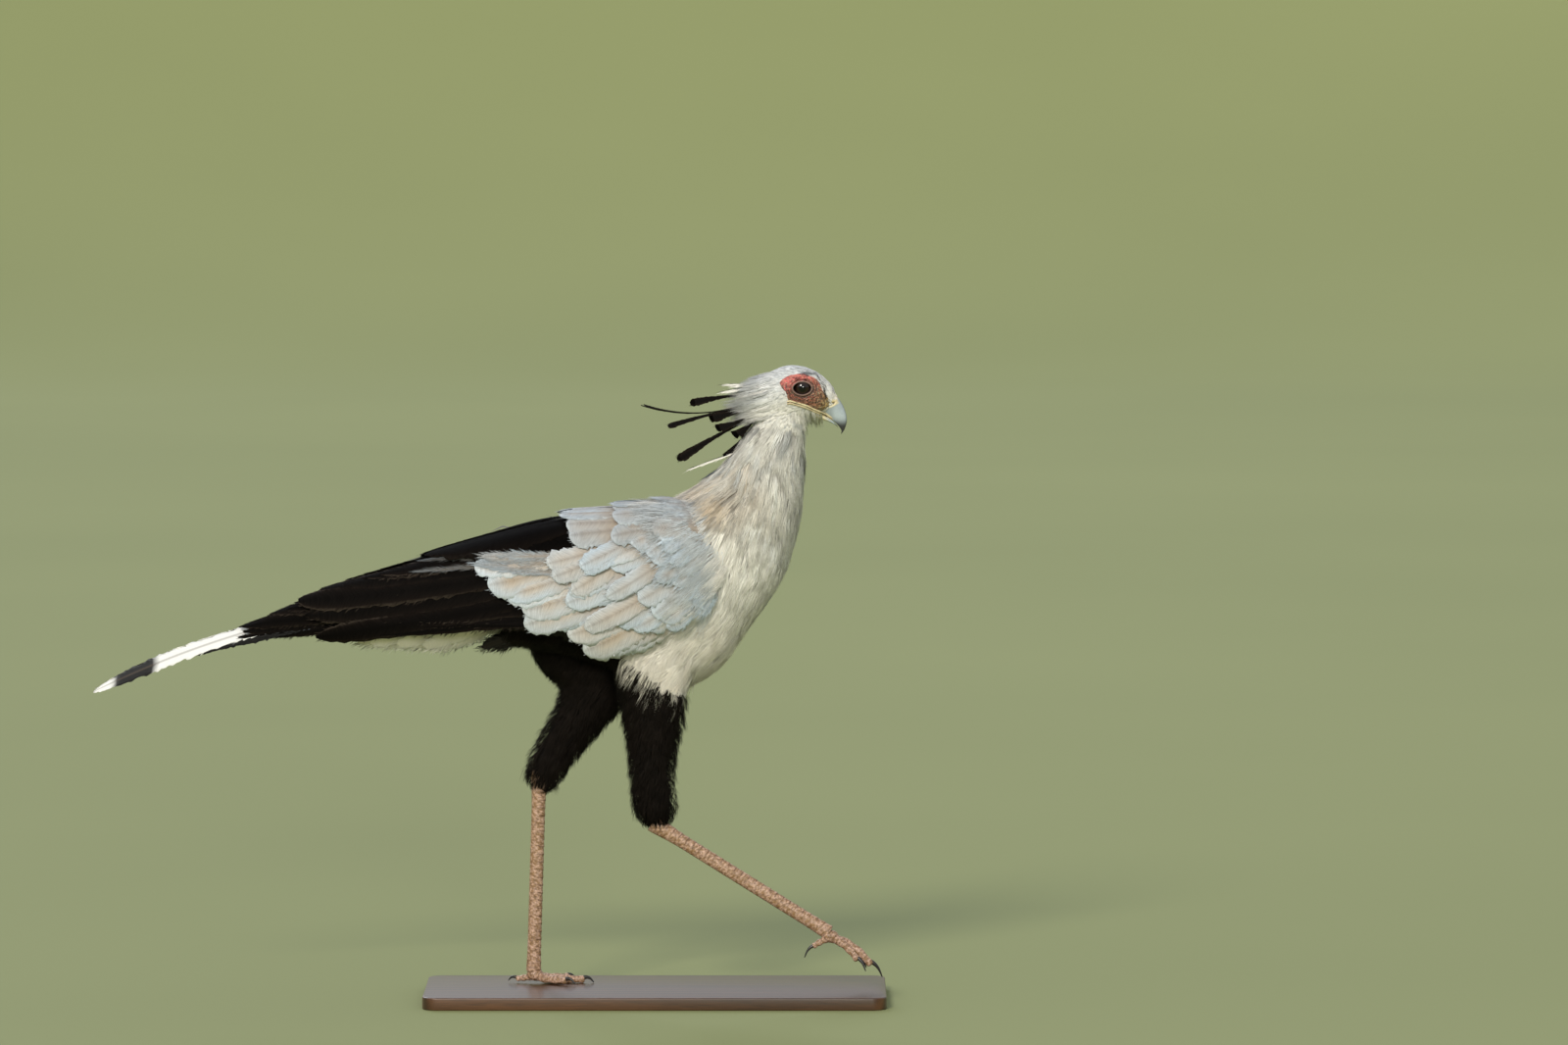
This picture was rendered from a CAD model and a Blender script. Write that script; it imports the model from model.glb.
# The looks of a life-size secretary bird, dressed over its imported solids.
#
# Sizes are millimetres in the tables and metres in the meshes. +X is where the bird looks,
# +Y its left, +Z up. A profile is read in the side view, as X and Z.

import math

import bpy
import numpy as np
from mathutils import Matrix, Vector, noise
from mathutils.bvhtree import BVHTree


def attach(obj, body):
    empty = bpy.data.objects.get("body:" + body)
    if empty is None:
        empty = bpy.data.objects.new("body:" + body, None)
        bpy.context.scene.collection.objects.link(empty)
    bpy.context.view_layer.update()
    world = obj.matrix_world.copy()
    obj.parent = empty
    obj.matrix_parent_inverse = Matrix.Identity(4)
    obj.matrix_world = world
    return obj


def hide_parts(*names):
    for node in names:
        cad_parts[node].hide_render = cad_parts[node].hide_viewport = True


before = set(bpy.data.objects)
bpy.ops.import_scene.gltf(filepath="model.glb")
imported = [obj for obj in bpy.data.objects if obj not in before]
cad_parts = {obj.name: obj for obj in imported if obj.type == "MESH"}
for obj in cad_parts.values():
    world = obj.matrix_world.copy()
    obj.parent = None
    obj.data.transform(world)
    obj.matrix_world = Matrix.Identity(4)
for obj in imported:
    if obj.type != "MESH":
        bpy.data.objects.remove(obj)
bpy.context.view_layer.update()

MM = 0.001
SIDES = {"left": 1, "right": -1}

# Body, the same profiles as the solids

# Back to breast, from the rump up to the nape: back X, back Z, front X, front Z, half width
BODY = [
    [-267, 604, -256, 543, 24],
    [-236, 620, -233, 526, 42],
    [-194, 645, -191, 512, 60],
    [-138, 672, -137, 504, 75],
    [-75, 690, -74, 487, 84],
    [-19, 704, -16, 459, 86],
    [27, 719, 36, 445, 83],
    [50, 732, 94, 477, 79],
    [69, 745, 131, 533, 73],
    [87, 760, 177, 594, 63],
    [103, 776, 205, 679, 51],
    [117, 795, 213, 749, 41],
    [132, 819, 213, 797, 34],
    [142, 843, 220, 820, 30],
    [156, 865, 218, 847, 24],
]
# Crown to throat, from the nape to the root of the bill
HEAD = [
    [134, 875, 142, 837, 13],
    [149, 891, 150, 826, 22],
    [170, 904, 171, 823, 28],
    [192, 911, 194, 827, 30.5],
    [215, 908, 215, 833, 29],
    [234, 899, 233, 836, 23.5],
    [248, 887, 246, 838, 16.5],
    [255, 878, 254, 843, 11.5],
]
# Ridge to cutting edge, from the face to the tip of the hook
UPPER_BILL = [
    [240, 882, 220, 847, 13],
    [253, 873, 234, 842, 11.5],
    [261, 863, 244, 837, 9.5],
    [268, 852, 253, 831, 7.5],
    [272.6, 840, 260, 825, 5.2],
    [273.6, 829, 264.5, 819, 3.4],
    [270.5, 818, 266, 815.5, 1.8],
    [266.5, 812, 265.2, 811.2, 0.6],
]
LOWER_BILL = [
    [201, 854, 201, 841.5, 12],
    [220, 846.6, 220, 837, 10.5],
    [234, 841.5, 236, 832, 9],
    [244, 836.6, 248.5, 828, 7],
    [253, 830.3, 257, 824, 5],
    [259, 824.3, 261.7, 820, 3],
]
# The surface that the folded wings lie on: X, its top, its bottom, half width
FLANK = [
    [107, 663, 534, 60],
    [86, 698, 506, 78],
    [44, 716, 481, 95],
    [-26, 712, 464, 103],
    [-95, 702, 461, 102],
    [-166, 689, 464, 94],
    [-236, 667, 473, 82],
    [-306, 644, 487, 68],
    [-376, 620, 498, 56],
    [-445, 600, 503, 46],
    [-516, 577, 503, 38],
    [-586, 547, 506, 32],
    [-620, 537, 506, 30],
]
FLANK_POWER = 2.3
SHOULDER_LINE = 0.86
# The fleshy wing under the coverts: X, its lower edge, its upper edge
WING_CORE = [
    [104, 612, 642],
    [84, 575, 690],
    [44, 552, 725],
    [-20, 534, 738],
    [-80, 530, 735],
    [-150, 548, 724],
    [-220, 556, 694],
    [-290, 566, 650],
    [-345, 580, 608],
]
# Rear of the thigh to its front, from the flank down to the hock
THIGHS = {
    "left": [
        [-172, 535, -20, 535, 34],
        [-177, 504, -26, 490, 38],
        [-158, 472, -33, 456, 37],
        [-134, 451, -44, 427, 32],
        [-144, 412, -74, 392, 26],
        [-165, 375, -103, 360, 22],
        [-180, 346, -128, 326, 19],
        [-184, 323, -144, 302, 16],
        [-180, 312, -154, 294, 11],
    ],
    "right": [
        [-66, 532, 58, 530, 34],
        [-57, 490, 55, 484, 36],
        [-48, 442, 47, 445, 33],
        [-41, 398, 38, 398, 28],
        [-36, 356, 29, 356, 25],
        [-32, 314, 26, 315, 23],
        [-29, 280, 30, 286, 20],
        [-22, 264, 26, 260, 13],
    ],
}
RUMP = [
    [-236, 616, -232, 530, 34],
    [-290, 599, -288, 524, 27],
    [-350, 588, -346, 522, 21],
    [-410, 576, -406, 532, 15],
    [-460, 563, -458, 545, 9],
]
LEG_OFFSET = 40

# Places in a table


def smooth(table, t):
    """Rows of a table at shares t of the way down it, blended smoothly."""
    rows = np.asarray(table, float)
    last = len(rows) - 1
    place = np.clip(np.asarray(t, float), 0, 1) * last
    i = np.minimum(place.astype(int), last - 1)
    f = (place - i)[..., None]
    before, here, after, beyond = (rows[np.clip(i + k, 0, last)] for k in (-1, 0, 1, 2))
    slope_in = (after - before) / 2
    slope_out = (beyond - here) / 2
    cubic = 2 * here - 2 * after + slope_in + slope_out
    square = 3 * after - 3 * here - 2 * slope_in - slope_out
    return ((cubic * f + square) * f + slope_in) * f + here


def smooth_at_x(table, x):
    """The same for a table whose first column is X, falling row by row."""
    rows = np.asarray(table, float)
    last = len(rows) - 1
    index = np.interp(x, rows[::-1, 0], np.arange(last, -1, -1))
    return smooth(table, index / last)


def unit(vectors):
    return vectors / np.maximum(np.linalg.norm(vectors, axis=-1, keepdims=True), 1e-12)


def linear(hex_colour):
    """An sRGB hex colour as linear light."""
    values = [int(hex_colour[i : i + 2], 16) / 255 for i in (1, 3, 5)]
    return np.array([v / 12.92 if v <= 0.04045 else ((v + 0.055) / 1.055) ** 2.4 for v in values])


def ramp(value, low, high):
    """0 below low, 1 above high, and smooth between."""
    t = np.clip((value - low) / (high - low), 0, 1)
    return t * t * (3 - 2 * t)


# Meshes


def only(piece):
    """Selects one object and makes it active."""
    bpy.ops.object.select_all(action="DESELECT")
    piece.select_set(True)
    bpy.context.view_layer.objects.active = piece


def apply_modifier(piece, kind, **settings):
    only(piece)
    modifier = piece.modifiers.new(kind.lower(), kind)
    for name, value in settings.items():
        setattr(modifier, name, value)
    bpy.ops.object.modifier_apply(modifier=modifier.name)


def mesh_piece(name, points, *face_sets):
    """An object made of points in millimetres and of arrays of triangles or quads."""
    corners = np.concatenate([faces.ravel() for faces in face_sets])
    sizes = np.concatenate([np.full(len(faces), faces.shape[1]) for faces in face_sets])
    starts = np.concatenate([[0], np.cumsum(sizes)[:-1]])
    mesh = bpy.data.meshes.new(name)
    mesh.vertices.add(len(points))
    mesh.vertices.foreach_set("co", (np.asarray(points) * MM).astype(np.float32).ravel())
    mesh.loops.add(len(corners))
    mesh.loops.foreach_set("vertex_index", corners.astype(np.int32))
    mesh.polygons.add(len(sizes))
    mesh.polygons.foreach_set("loop_start", starts.astype(np.int32))
    mesh.update(calc_edges=True)
    mesh.shade_smooth()
    piece = bpy.data.objects.new(name, mesh)
    bpy.context.scene.collection.objects.link(piece)
    return piece


def corners_of(mesh):
    corners = np.empty(len(mesh.loops), np.int32)
    mesh.loops.foreach_get("vertex_index", corners)
    return corners


def points_of(mesh):
    """The mesh's vertices, in millimetres."""
    points = np.empty(len(mesh.vertices) * 3, np.float32)
    mesh.vertices.foreach_get("co", points)
    return points.reshape(-1, 3).astype(float) / MM


def normals_of(mesh):
    normals = np.empty(len(mesh.vertices) * 3, np.float32)
    mesh.vertex_normals.foreach_get("vector", normals)
    return normals.reshape(-1, 3).astype(float)


def set_uv(mesh, name, per_point):
    layer = mesh.uv_layers.new(name=name)
    layer.uv.foreach_set("vector", per_point[corners_of(mesh)].astype(np.float32).ravel())


def set_colour(mesh, colours):
    """Stores a linear colour for each vertex, which the materials read as Plumage."""
    layer = mesh.color_attributes.new("Plumage", "FLOAT_COLOR", "POINT")
    rgba = np.ones((len(colours), 4))
    rgba[:, :3] = colours
    layer.data.foreach_set("color", rgba.astype(np.float32).ravel())


def ball_piece(name, rows, sides, place):
    """A ball whose rings are moved to place(v, u): v from 0 to 1 along it, u once round it."""
    bpy.ops.object.select_all(action="DESELECT")
    bpy.ops.mesh.primitive_uv_sphere_add(segments=sides, ring_count=rows, radius=1)
    piece = bpy.context.object
    piece.name = piece.data.name = name
    ball = points_of(piece.data) * MM
    v = np.round(np.arccos(np.clip(ball[:, 2], -1, 1)) / math.pi * rows) / rows
    u = np.round(np.arctan2(ball[:, 1], ball[:, 0]) / (2 * math.pi) * sides) / sides
    moved = place(v, u % 1.0) * MM
    piece.data.vertices.foreach_set("co", moved.astype(np.float32).ravel())
    turn_outward(piece)
    piece.data.shade_smooth()
    return piece


def turn_outward(piece):
    only(piece)
    bpy.ops.object.mode_set(mode="EDIT")
    bpy.ops.mesh.select_all(action="SELECT")
    bpy.ops.mesh.normals_make_consistent(inside=False)
    bpy.ops.object.mode_set(mode="OBJECT")


def join(pieces, name):
    """Joins pieces into the first one."""
    bpy.ops.object.select_all(action="DESELECT")
    for piece in pieces:
        piece.select_set(True)
    bpy.context.view_layer.objects.active = pieces[0]
    bpy.ops.object.join()
    pieces[0].name = pieces[0].data.name = name
    return pieces[0]


def dress_all(pieces, material, slot, *nodes):
    for piece in pieces:
        dress(piece, material, slot, *nodes)


def dress(piece, material, slot, *nodes):
    """Finishes a piece: its material, the body it rides on, its slot and the nodes it stands for."""
    piece.data.materials.clear()
    piece.data.materials.append(material)
    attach(piece, "root")
    if nodes:
        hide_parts(*nodes)
    return piece


# Materials


def add_node(tree, kind, inputs, **settings):
    """Adds a node. An input is a number, a colour or another node's output."""
    made = tree.nodes.new(kind)
    for name, value in settings.items():
        setattr(made, name, value)
    for name, value in inputs.items():
        if isinstance(value, bpy.types.NodeSocket):
            tree.links.new(value, made.inputs[name])
        else:
            made.inputs[name].default_value = value
    return made


def new_material(name, **shader_values):
    material = bpy.data.materials.new(name)
    material.use_nodes = True
    shader = material.node_tree.nodes["Principled BSDF"]
    for socket, value in shader_values.items():
        shader.inputs[socket.replace("_", " ")].default_value = value
    return material, material.node_tree, shader


def rgba(hex_colour):
    return (*linear(hex_colour), 1.0)


def plumage(name, contrast, barb_spacing, roughness, gloss=0.5, sheen=0.0):
    """Keratin barbs: a matte vane whose colour and relief run in fine lines, barb by barb."""
    material, tree, shader = new_material(
        name,
        Roughness=roughness,
        IOR=1.54,
        Specular_IOR_Level=gloss,
        Sheen_Weight=sheen,
        Sheen_Roughness=0.5,
    )
    colour = add_node(tree, "ShaderNodeAttribute", {}, attribute_name="Plumage")
    lie = add_node(tree, "ShaderNodeUVMap", {}, uv_map="Lie")
    across = 1 / barb_spacing
    stretched = add_node(
        tree, "ShaderNodeMapping", {"Vector": lie.outputs["UV"], "Scale": (0.05, across, 1)}
    )
    barbs = add_node(
        tree, "ShaderNodeTexNoise", {"Vector": stretched.outputs["Vector"], "Scale": 1, "Detail": 3}
    )
    shade = add_node(
        tree,
        "ShaderNodeMapRange",
        {
            "Value": barbs.outputs["Fac"],
            "From Min": 0.3,
            "From Max": 0.7,
            "To Min": 1 - contrast,
            "To Max": 1 + contrast,
        },
    )
    tinted = add_node(
        tree,
        "ShaderNodeVectorMath",
        {0: colour.outputs["Color"], "Scale": shade.outputs["Result"]},
        operation="SCALE",
    )
    tree.links.new(tinted.outputs["Vector"], shader.inputs["Base Color"])
    relief = add_node(
        tree,
        "ShaderNodeBump",
        {"Height": barbs.outputs["Fac"], "Strength": 0.35, "Distance": 0.4 * MM},
    )
    tree.links.new(relief.outputs["Normal"], shader.inputs["Normal"])
    return material


def painted(name, roughness, grain, relief_depth, contrast, coat=0.0, coat_roughness=0.1):
    """A painted-in colour with a cellular grain of a given size in millimetres."""
    material, tree, shader = new_material(
        name, Roughness=roughness, Coat_Weight=coat, Coat_Roughness=coat_roughness
    )
    colour = add_node(tree, "ShaderNodeAttribute", {}, attribute_name="Plumage")
    place = add_node(tree, "ShaderNodeTexCoord", {})
    cells = add_node(
        tree,
        "ShaderNodeTexVoronoi",
        {"Vector": place.outputs["Object"], "Scale": 1 / (grain * MM), "Randomness": 0.9},
    )
    mottle = add_node(
        tree,
        "ShaderNodeTexNoise",
        {"Vector": place.outputs["Object"], "Scale": 0.5 / (grain * MM), "Detail": 4},
    )
    mixed = add_node(
        tree,
        "ShaderNodeMath",
        {0: cells.outputs["Distance"], 1: mottle.outputs["Fac"]},
        operation="ADD",
    )
    shade = add_node(
        tree,
        "ShaderNodeMapRange",
        {
            "Value": mixed.outputs["Value"],
            "From Min": 0.4,
            "From Max": 1.3,
            "To Min": 1 + contrast,
            "To Max": 1 - contrast,
        },
    )
    tinted = add_node(
        tree,
        "ShaderNodeVectorMath",
        {0: colour.outputs["Color"], "Scale": shade.outputs["Result"]},
        operation="SCALE",
    )
    tree.links.new(tinted.outputs["Vector"], shader.inputs["Base Color"])
    relief = add_node(
        tree,
        "ShaderNodeBump",
        {"Height": mixed.outputs["Value"], "Strength": 0.6, "Distance": relief_depth * MM},
    )
    relief.invert = True
    tree.links.new(relief.outputs["Normal"], shader.inputs["Normal"])
    return material


# Barb lines are about 0.5 mm apart in life, drawn at 1 mm and more so that they show.
WHITE_PLUMES = plumage("white_contour_feathers", 0.08, 1.2, 0.85, 0.3, 0.1)
GREY_PLUMES = plumage("grey_covert_feathers", 0.2, 1.7, 0.75, 0.3, 0.1)
BLACK_PLUMES = plumage("black_flight_feathers", 0.4, 1.4, 0.8, 0.02)
DARK_DOWN = plumage("black_thigh_feathers", 0.3, 1.2, 0.8, 0.1)
FACE_SKIN = painted("bare_face_skin", 0.55, 1.6, 0.5, 0.35, coat=0.1, coat_roughness=0.4)
HORN = painted("bill_horn", 0.38, 2.5, 0.05, 0.06, coat=0.3, coat_roughness=0.25)
LEG_SKIN = painted("scaled_leg_skin", 0.5, 2.2, 0.35, 0.3, coat=0.1, coat_roughness=0.4)
CLAW_HORN = painted("claw_horn", 0.4, 1.5, 0.08, 0.15, coat=0.2, coat_roughness=0.3)
EYE_GLASS = painted("moist_eye", 0.1, 0.8, 0.0, 0.25)


# Lofted forms


def loft_place(stations, inset=0.0, y_of=None, dome=0.35):
    """The place(v, u) of a body part lofted through its stations, taken in by inset."""

    def ring(t):
        back_x, back_z, front_x, front_z, width = smooth(stations, t).T
        middle = np.stack([(back_x + front_x) / 2, np.zeros_like(width), (back_z + front_z) / 2], -1)
        tall = np.stack([(back_x - front_x) / 2, np.zeros_like(width), (back_z - front_z) / 2], -1)
        if y_of is not None:
            middle[:, 1] = y_of(t)
        return middle, tall, width

    def place(v, u):
        end = 0.03
        t = np.clip((v - end) / (1 - 2 * end), 0, 1)
        middle, tall, width = ring(t)
        height = np.linalg.norm(tall, axis=1)
        shrink = np.sqrt(np.clip(1 - (np.maximum(end - v, v - 1 + end) / end).clip(0, 1) ** 2, 0, 1))
        shrink = np.where((v < end) | (v > 1 - end), shrink, 1.0)
        angle = 2 * math.pi * u
        grown = np.maximum(height - inset, 0.5) / height * shrink
        out = middle + tall * (grown * np.cos(angle))[:, None]
        out[:, 1] += np.maximum(width - inset, 0.5) * shrink * np.sin(angle)
        ahead = ring(np.full_like(t, 0.02))[0] - ring(np.zeros_like(t))[0]
        behind = ring(np.full_like(t, 0.98))[0] - ring(np.ones_like(t))[0]
        push = (dome * width - inset) * np.clip(np.maximum(end - v, v - 1 + end) / end, 0, 1)
        way = np.where((v < 0.5)[:, None], -unit(ahead), -unit(behind))
        return out + way * np.maximum(push, 0)[:, None]

    return place


def thigh_y(side):
    return lambda t: side * (LEG_OFFSET + 4 - 6 * t)


def flank_point(side, x, z, height):
    """A point of the flank's surface, carried out along its normal by height. Past the shoulder
    line z is the way on round the back."""
    _, top, bottom, width = smooth_at_x(FLANK, x).T
    half = (top - bottom) / 2
    middle = (top + bottom) / 2

    def across(share):
        return (1 - np.clip(np.abs(share), 0, 1) ** FLANK_POWER) ** (1 / FLANK_POWER)

    rise = np.maximum((z - middle) / half, -0.96)
    y = width * across(np.minimum(rise, SHOULDER_LINE))
    past = rise > SHOULDER_LINE
    y = np.where(past, y - (rise - SHOULDER_LINE) * half, y)
    rise = np.where(past, across(y / width), rise)
    slope_z = np.sign(rise) * np.abs(rise) ** (FLANK_POWER - 1) / half
    slope_y = np.sign(y) * np.abs(y / width) ** (FLANK_POWER - 1) / width
    normal = unit(np.stack([np.zeros_like(x), slope_y, slope_z], -1))
    point = np.stack([x, y, middle + rise * half], -1) + normal * np.asarray(height)[..., None]
    point[..., 1] *= side
    return point


def wing_core_place(side, sink):
    def place(v, u):
        x, low, high = smooth(WING_CORE, v).T
        up = np.where(u <= 0.5, 2 * u, 2 - 2 * u)
        ends = np.sqrt(np.clip(np.minimum(v, 1 - v) / 0.06, 0, 1))
        z = (low + high) / 2 + (high - low) * (up - 0.5) * ends
        deep = np.where(u <= 0.5, 0, 22 * np.sin(math.pi * up) ** 0.6) * ends
        return flank_point(side, x, z, -sink - deep)

    return place


def limb_place(line, radius, rise):
    """The place(v, u) of a round limb along a line, with a rise over its upper side."""

    def place(v, u):
        end = 0.04
        t = np.clip((v - end) / (1 - 2 * end), 0, 1)
        middle = smooth(line, t)
        along = unit(smooth(line, np.clip(t + 0.02, 0, 1)) - smooth(line, np.clip(t - 0.02, 0, 1)))
        sideways = unit(np.cross(np.array([0, 0, 1.0]), along))
        top = np.cross(along, sideways)
        angle = 2 * math.pi * u
        closing = np.sqrt(np.clip(1 - (np.maximum(end - v, v - 1 + end) / end).clip(0, 1) ** 2, 0, 1))
        wide = radius(t) * closing
        lifted = wide + rise(t) * np.maximum(0, np.cos(angle)) * closing
        push = np.clip(np.maximum(end - v, v - 1 + end) / end, 0, 1) * radius(t) * 0.6
        way = np.where((v < 0.5)[:, None], -along, along)
        out = middle + top * (lifted * np.cos(angle))[:, None] + sideways * (wide * np.sin(angle))[:, None]
        return out + way * push[:, None]

    return place


BODY_COAT = 6.0
HEAD_COAT = 2.4
THIGH_COAT = 7.0


def flesh(name, coat_share, voxel):
    """One closed skin through head, neck, body, thighs and wings, in by a share of each coat."""
    parts = [
        ball_piece("body_part", 90, 64, loft_place(BODY, BODY_COAT * coat_share)),
        ball_piece("head_part", 60, 64, loft_place(HEAD, HEAD_COAT * coat_share)),
        ball_piece("rump_part", 40, 40, loft_place(RUMP, 4 * coat_share)),
    ]
    for side_name, side in SIDES.items():
        place = loft_place(THIGHS[side_name], THIGH_COAT * coat_share, thigh_y(side), 0.4)
        parts.append(ball_piece("thigh_part", 60, 40, place))
        parts.append(ball_piece("wing_part", 60, 40, wing_core_place(side, 7 * coat_share)))
    skin = join(parts, name)
    apply_modifier(skin, "REMESH", mode="VOXEL", voxel_size=voxel * MM)
    apply_modifier(skin, "SMOOTH", factor=0.5, iterations=4)
    skin.data.shade_smooth()
    return skin


def sink_sockets(skin, depth):
    """Takes the skin in behind the eyes, so that they stand in sockets."""
    points = points_of(skin.data)
    distance, _ = eye_polar(points)
    outer = ramp(np.abs(points[:, 1]), 6, 12)
    points[:, 1] -= np.sign(points[:, 1]) * depth * outer * ramp(-distance, -19, -13)
    skin.data.vertices.foreach_set("co", (points * MM).astype(np.float32).ravel())
    skin.data.update()


def surface_of(piece):
    """What finds the nearest point of a piece, in millimetres."""
    points = points_of(piece.data)
    faces = [tuple(face.vertices) for face in piece.data.polygons]
    return BVHTree.FromPolygons([tuple(p) for p in points], faces)


def nearest(surface, points):
    found = [surface.find_nearest(Vector(p))[:2] for p in points]
    return np.array([f[0] for f in found]), np.array([f[1] for f in found])


# Coat

# Width of a strand at its rings, from the root on
STRAND_SHAPE = (0.6, 1.0, 0.85)
# Side of the patch that a tuft takes in the bake map
BAKE_PATCH = 0.003
# How far a strand is shaded by the body's form and not by its own faces
SOFT_SHADING = 0.72


def strands(path, sideways, width, thick):
    """Closed tapered strands. path holds the points of each: a few rings and then the tip."""
    rings = len(path) - 1
    per_strand = 3 * rings + 1
    points = []
    for k in range(rings):
        share = STRAND_SHAPE[k * len(STRAND_SHAPE) // rings]
        half = sideways * (0.5 * share * width)[:, None]
        up = unit(np.cross(path[k + 1] - path[k], sideways)) * (thick * share)[:, None]
        points += [path[k] - half, path[k] + half, path[k] + up]
    points = np.stack([*points, path[-1]], 1)
    base = np.arange(len(sideways))[:, None] * per_strand
    walls = [
        [a + 3 * k, b + 3 * k, b + 3 * k + 3, a + 3 * k + 3]
        for k in range(rings - 1)
        for a, b in ((0, 1), (1, 2), (2, 0))
    ]
    last, tip = 3 * rings - 3, 3 * rings
    caps = [[last, last + 1, tip], [last + 1, last + 2, tip], [last + 2, last, tip], [0, 2, 1]]
    quads = np.concatenate([base + np.array(wall) for wall in walls])
    triangles = np.concatenate([base + np.array(cap) for cap in caps])
    return points, quads, triangles


def strand_piece(name, groups):
    """One mesh from groups of strands: their paths, widths, colours and places in the bake map."""
    gathered = {key: [] for key in ("points", "quads", "triangles", "lie", "colours", "bake", "normals")}
    offset = 0
    for group in groups:
        path, half = group["path"], 0.5 * group["width"]
        points, quads, triangles = strands(path, group["sideways"], group["width"], group["thick"])
        count, per_strand = points.shape[:2]
        ring_of = np.minimum(np.arange(per_strand) // 3, len(path) - 1)
        share = ring_of / (len(path) - 1)
        root, tip = group["root_colour"][:, None], group["tip_colour"][:, None]
        colours = root + (tip - root) * share[None, :, None]
        place = np.where(np.arange(per_strand) % 3 == 2, 0.0, np.arange(per_strand) % 3 * 2.0 - 1)
        place[-1] = 0
        patch = np.stack([place, 2 * share - 1], -1) * BAKE_PATCH / 2
        shift = group["shift"][:, None]
        along = group["length"][:, None] * share + 90 * shift
        across = half[:, None] * place + 40 * shift
        gathered["points"].append(points.reshape(-1, 3))
        gathered["quads"].append(quads + offset)
        gathered["triangles"].append(triangles + offset)
        gathered["lie"].append(np.stack([along, across], -1).reshape(-1, 2))
        gathered["colours"].append(colours.reshape(-1, 3))
        gathered["bake"].append((group["bake"][:, None] + patch[None]).reshape(-1, 2))
        if "shading" in group:
            gathered["normals"].append(np.stack(group["shading"], 1)[:, ring_of].reshape(-1, 3))
        offset += count * per_strand
    whole = {key: np.concatenate(parts) for key, parts in gathered.items() if parts}
    piece = mesh_piece(name, whole["points"], whole["quads"], whole["triangles"])
    set_uv(piece.data, "OFBake", whole["bake"])
    set_uv(piece.data, "Lie", whole["lie"])
    set_colour(piece.data, whole["colours"])
    if "normals" in whole:
        own = normals_of(piece.data)
        soft = unit(SOFT_SHADING * whole["normals"] + (1 - SOFT_SHADING) * own)
        piece.data.normals_split_custom_set_from_vertices(soft)
    return piece


def sample_roots(points, normals, faces, spacing, rng):
    """Roots spread over triangles, about one for each cell of the given spacing."""
    a, b, c = (points[faces[:, k]] for k in range(3))
    areas = np.linalg.norm(np.cross(b - a, c - a), axis=1) / 2
    count = int(4 * areas.sum() / spacing**2)
    chosen = rng.choice(len(faces), count, p=areas / areas.sum())
    p, q = rng.random(count), rng.random(count)
    flip = p + q > 1
    p, q = np.where(flip, 1 - p, p), np.where(flip, 1 - q, q)
    weights = np.stack([1 - p - q, p, q], -1)[..., None]
    root = (points[faces[chosen]] * weights).sum(1)
    normal = unit((normals[faces[chosen]] * weights).sum(1))
    cells = np.floor(root / spacing + 1000).astype(np.int64)
    _, first = np.unique(cells @ np.array([1, 4096, 4096 * 4096]), return_index=True)
    first.sort()
    return root[first], normal[first]


# Which way the coat lies: X and Z of a place, and the direction there
LIE = [
    [262, 868, -0.7, 0.7],
    [245, 893, -0.9, 0.45],
    [205, 912, -1, 0],
    [165, 903, -0.9, -0.4],
    [138, 875, -0.7, -0.7],
    [200, 860, -1, -0.15],
    [170, 860, -0.8, -0.6],
    [210, 832, -0.2, -1],
    [235, 838, 0.1, -1],
    [120, 795, -0.35, -0.9],
    [165, 790, -0.1, -1],
    [213, 780, 0.05, -1],
    [95, 745, -0.75, -0.65],
    [140, 700, -0.2, -1],
    [205, 680, -0.1, -1],
    [50, 733, -1, -0.2],
    [160, 600, -0.45, -0.9],
    [90, 640, -0.2, -1],
    [110, 520, -0.75, -0.7],
    [60, 480, -0.85, -0.55],
    [20, 450, -0.95, -0.3],
    [-60, 485, -1, 0],
    [-140, 505, -1, 0.05],
    [-230, 530, -1, 0.05],
    [-120, 690, -1, -0.25],
    [-240, 620, -1, -0.3],
    [-100, 470, -0.35, -0.95],
    [-110, 400, -0.35, -0.95],
    [-160, 320, -0.3, -0.95],
    [0, 440, -0.15, -1],
    [0, 340, -0.1, -1],
    [0, 270, 0.1, -1],
]


def lie_at(roots, normals, rng, scatter):
    """The direction that the coat lies in at each root, along the skin."""
    guides = np.array(LIE, float)
    away = (roots[:, None, [0, 2]] - guides[None, :, :2]) ** 2
    weights = 1 / (away.sum(-1) + 60) ** 2
    flow = (weights[..., None] * guides[None, :, 2:]).sum(1)
    way = np.stack([flow[:, 0], np.zeros(len(flow)), flow[:, 1]], -1)
    way = unit(unit(way) - normals * (unit(way) * normals).sum(-1, keepdims=True))
    sideways = np.cross(normals, way)
    x, y, z = roots.T
    eddy = np.sin(x / 9 + z / 14 + 1) + np.sin(y / 8 - z / 11) + np.sin(x / 17 - y / 15)
    turn = (scatter * (0.5 * eddy + rng.normal(0, 0.6, len(way))))[:, None]
    return unit(way * np.cos(turn) + sideways * np.sin(turn))


def unwrap(stations, points, y_of=None):
    """Where points lie on the unwrapped skin of a lofted part: round it and along it."""
    t = np.linspace(0, 1, 160)
    back_x, back_z, front_x, front_z, _ = smooth(stations, t).T
    line = np.stack([(back_x + front_x) / 2, (back_z + front_z) / 2], -1)
    tall = unit(np.stack([back_x - front_x, back_z - front_z], -1))
    away = ((points[:, None, [0, 2]] - line[None]) ** 2).sum(-1)
    near = away.argmin(1)
    middle_y = y_of(t[near]) if y_of is not None else 0
    rise = ((points[:, [0, 2]] - line[near]) * tall[near]).sum(-1)
    angle = np.arctan2(points[:, 1] - middle_y, rise)
    return np.stack([0.5 + 0.48 * angle / math.pi, 0.02 + 0.96 * t[near]], -1)


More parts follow.
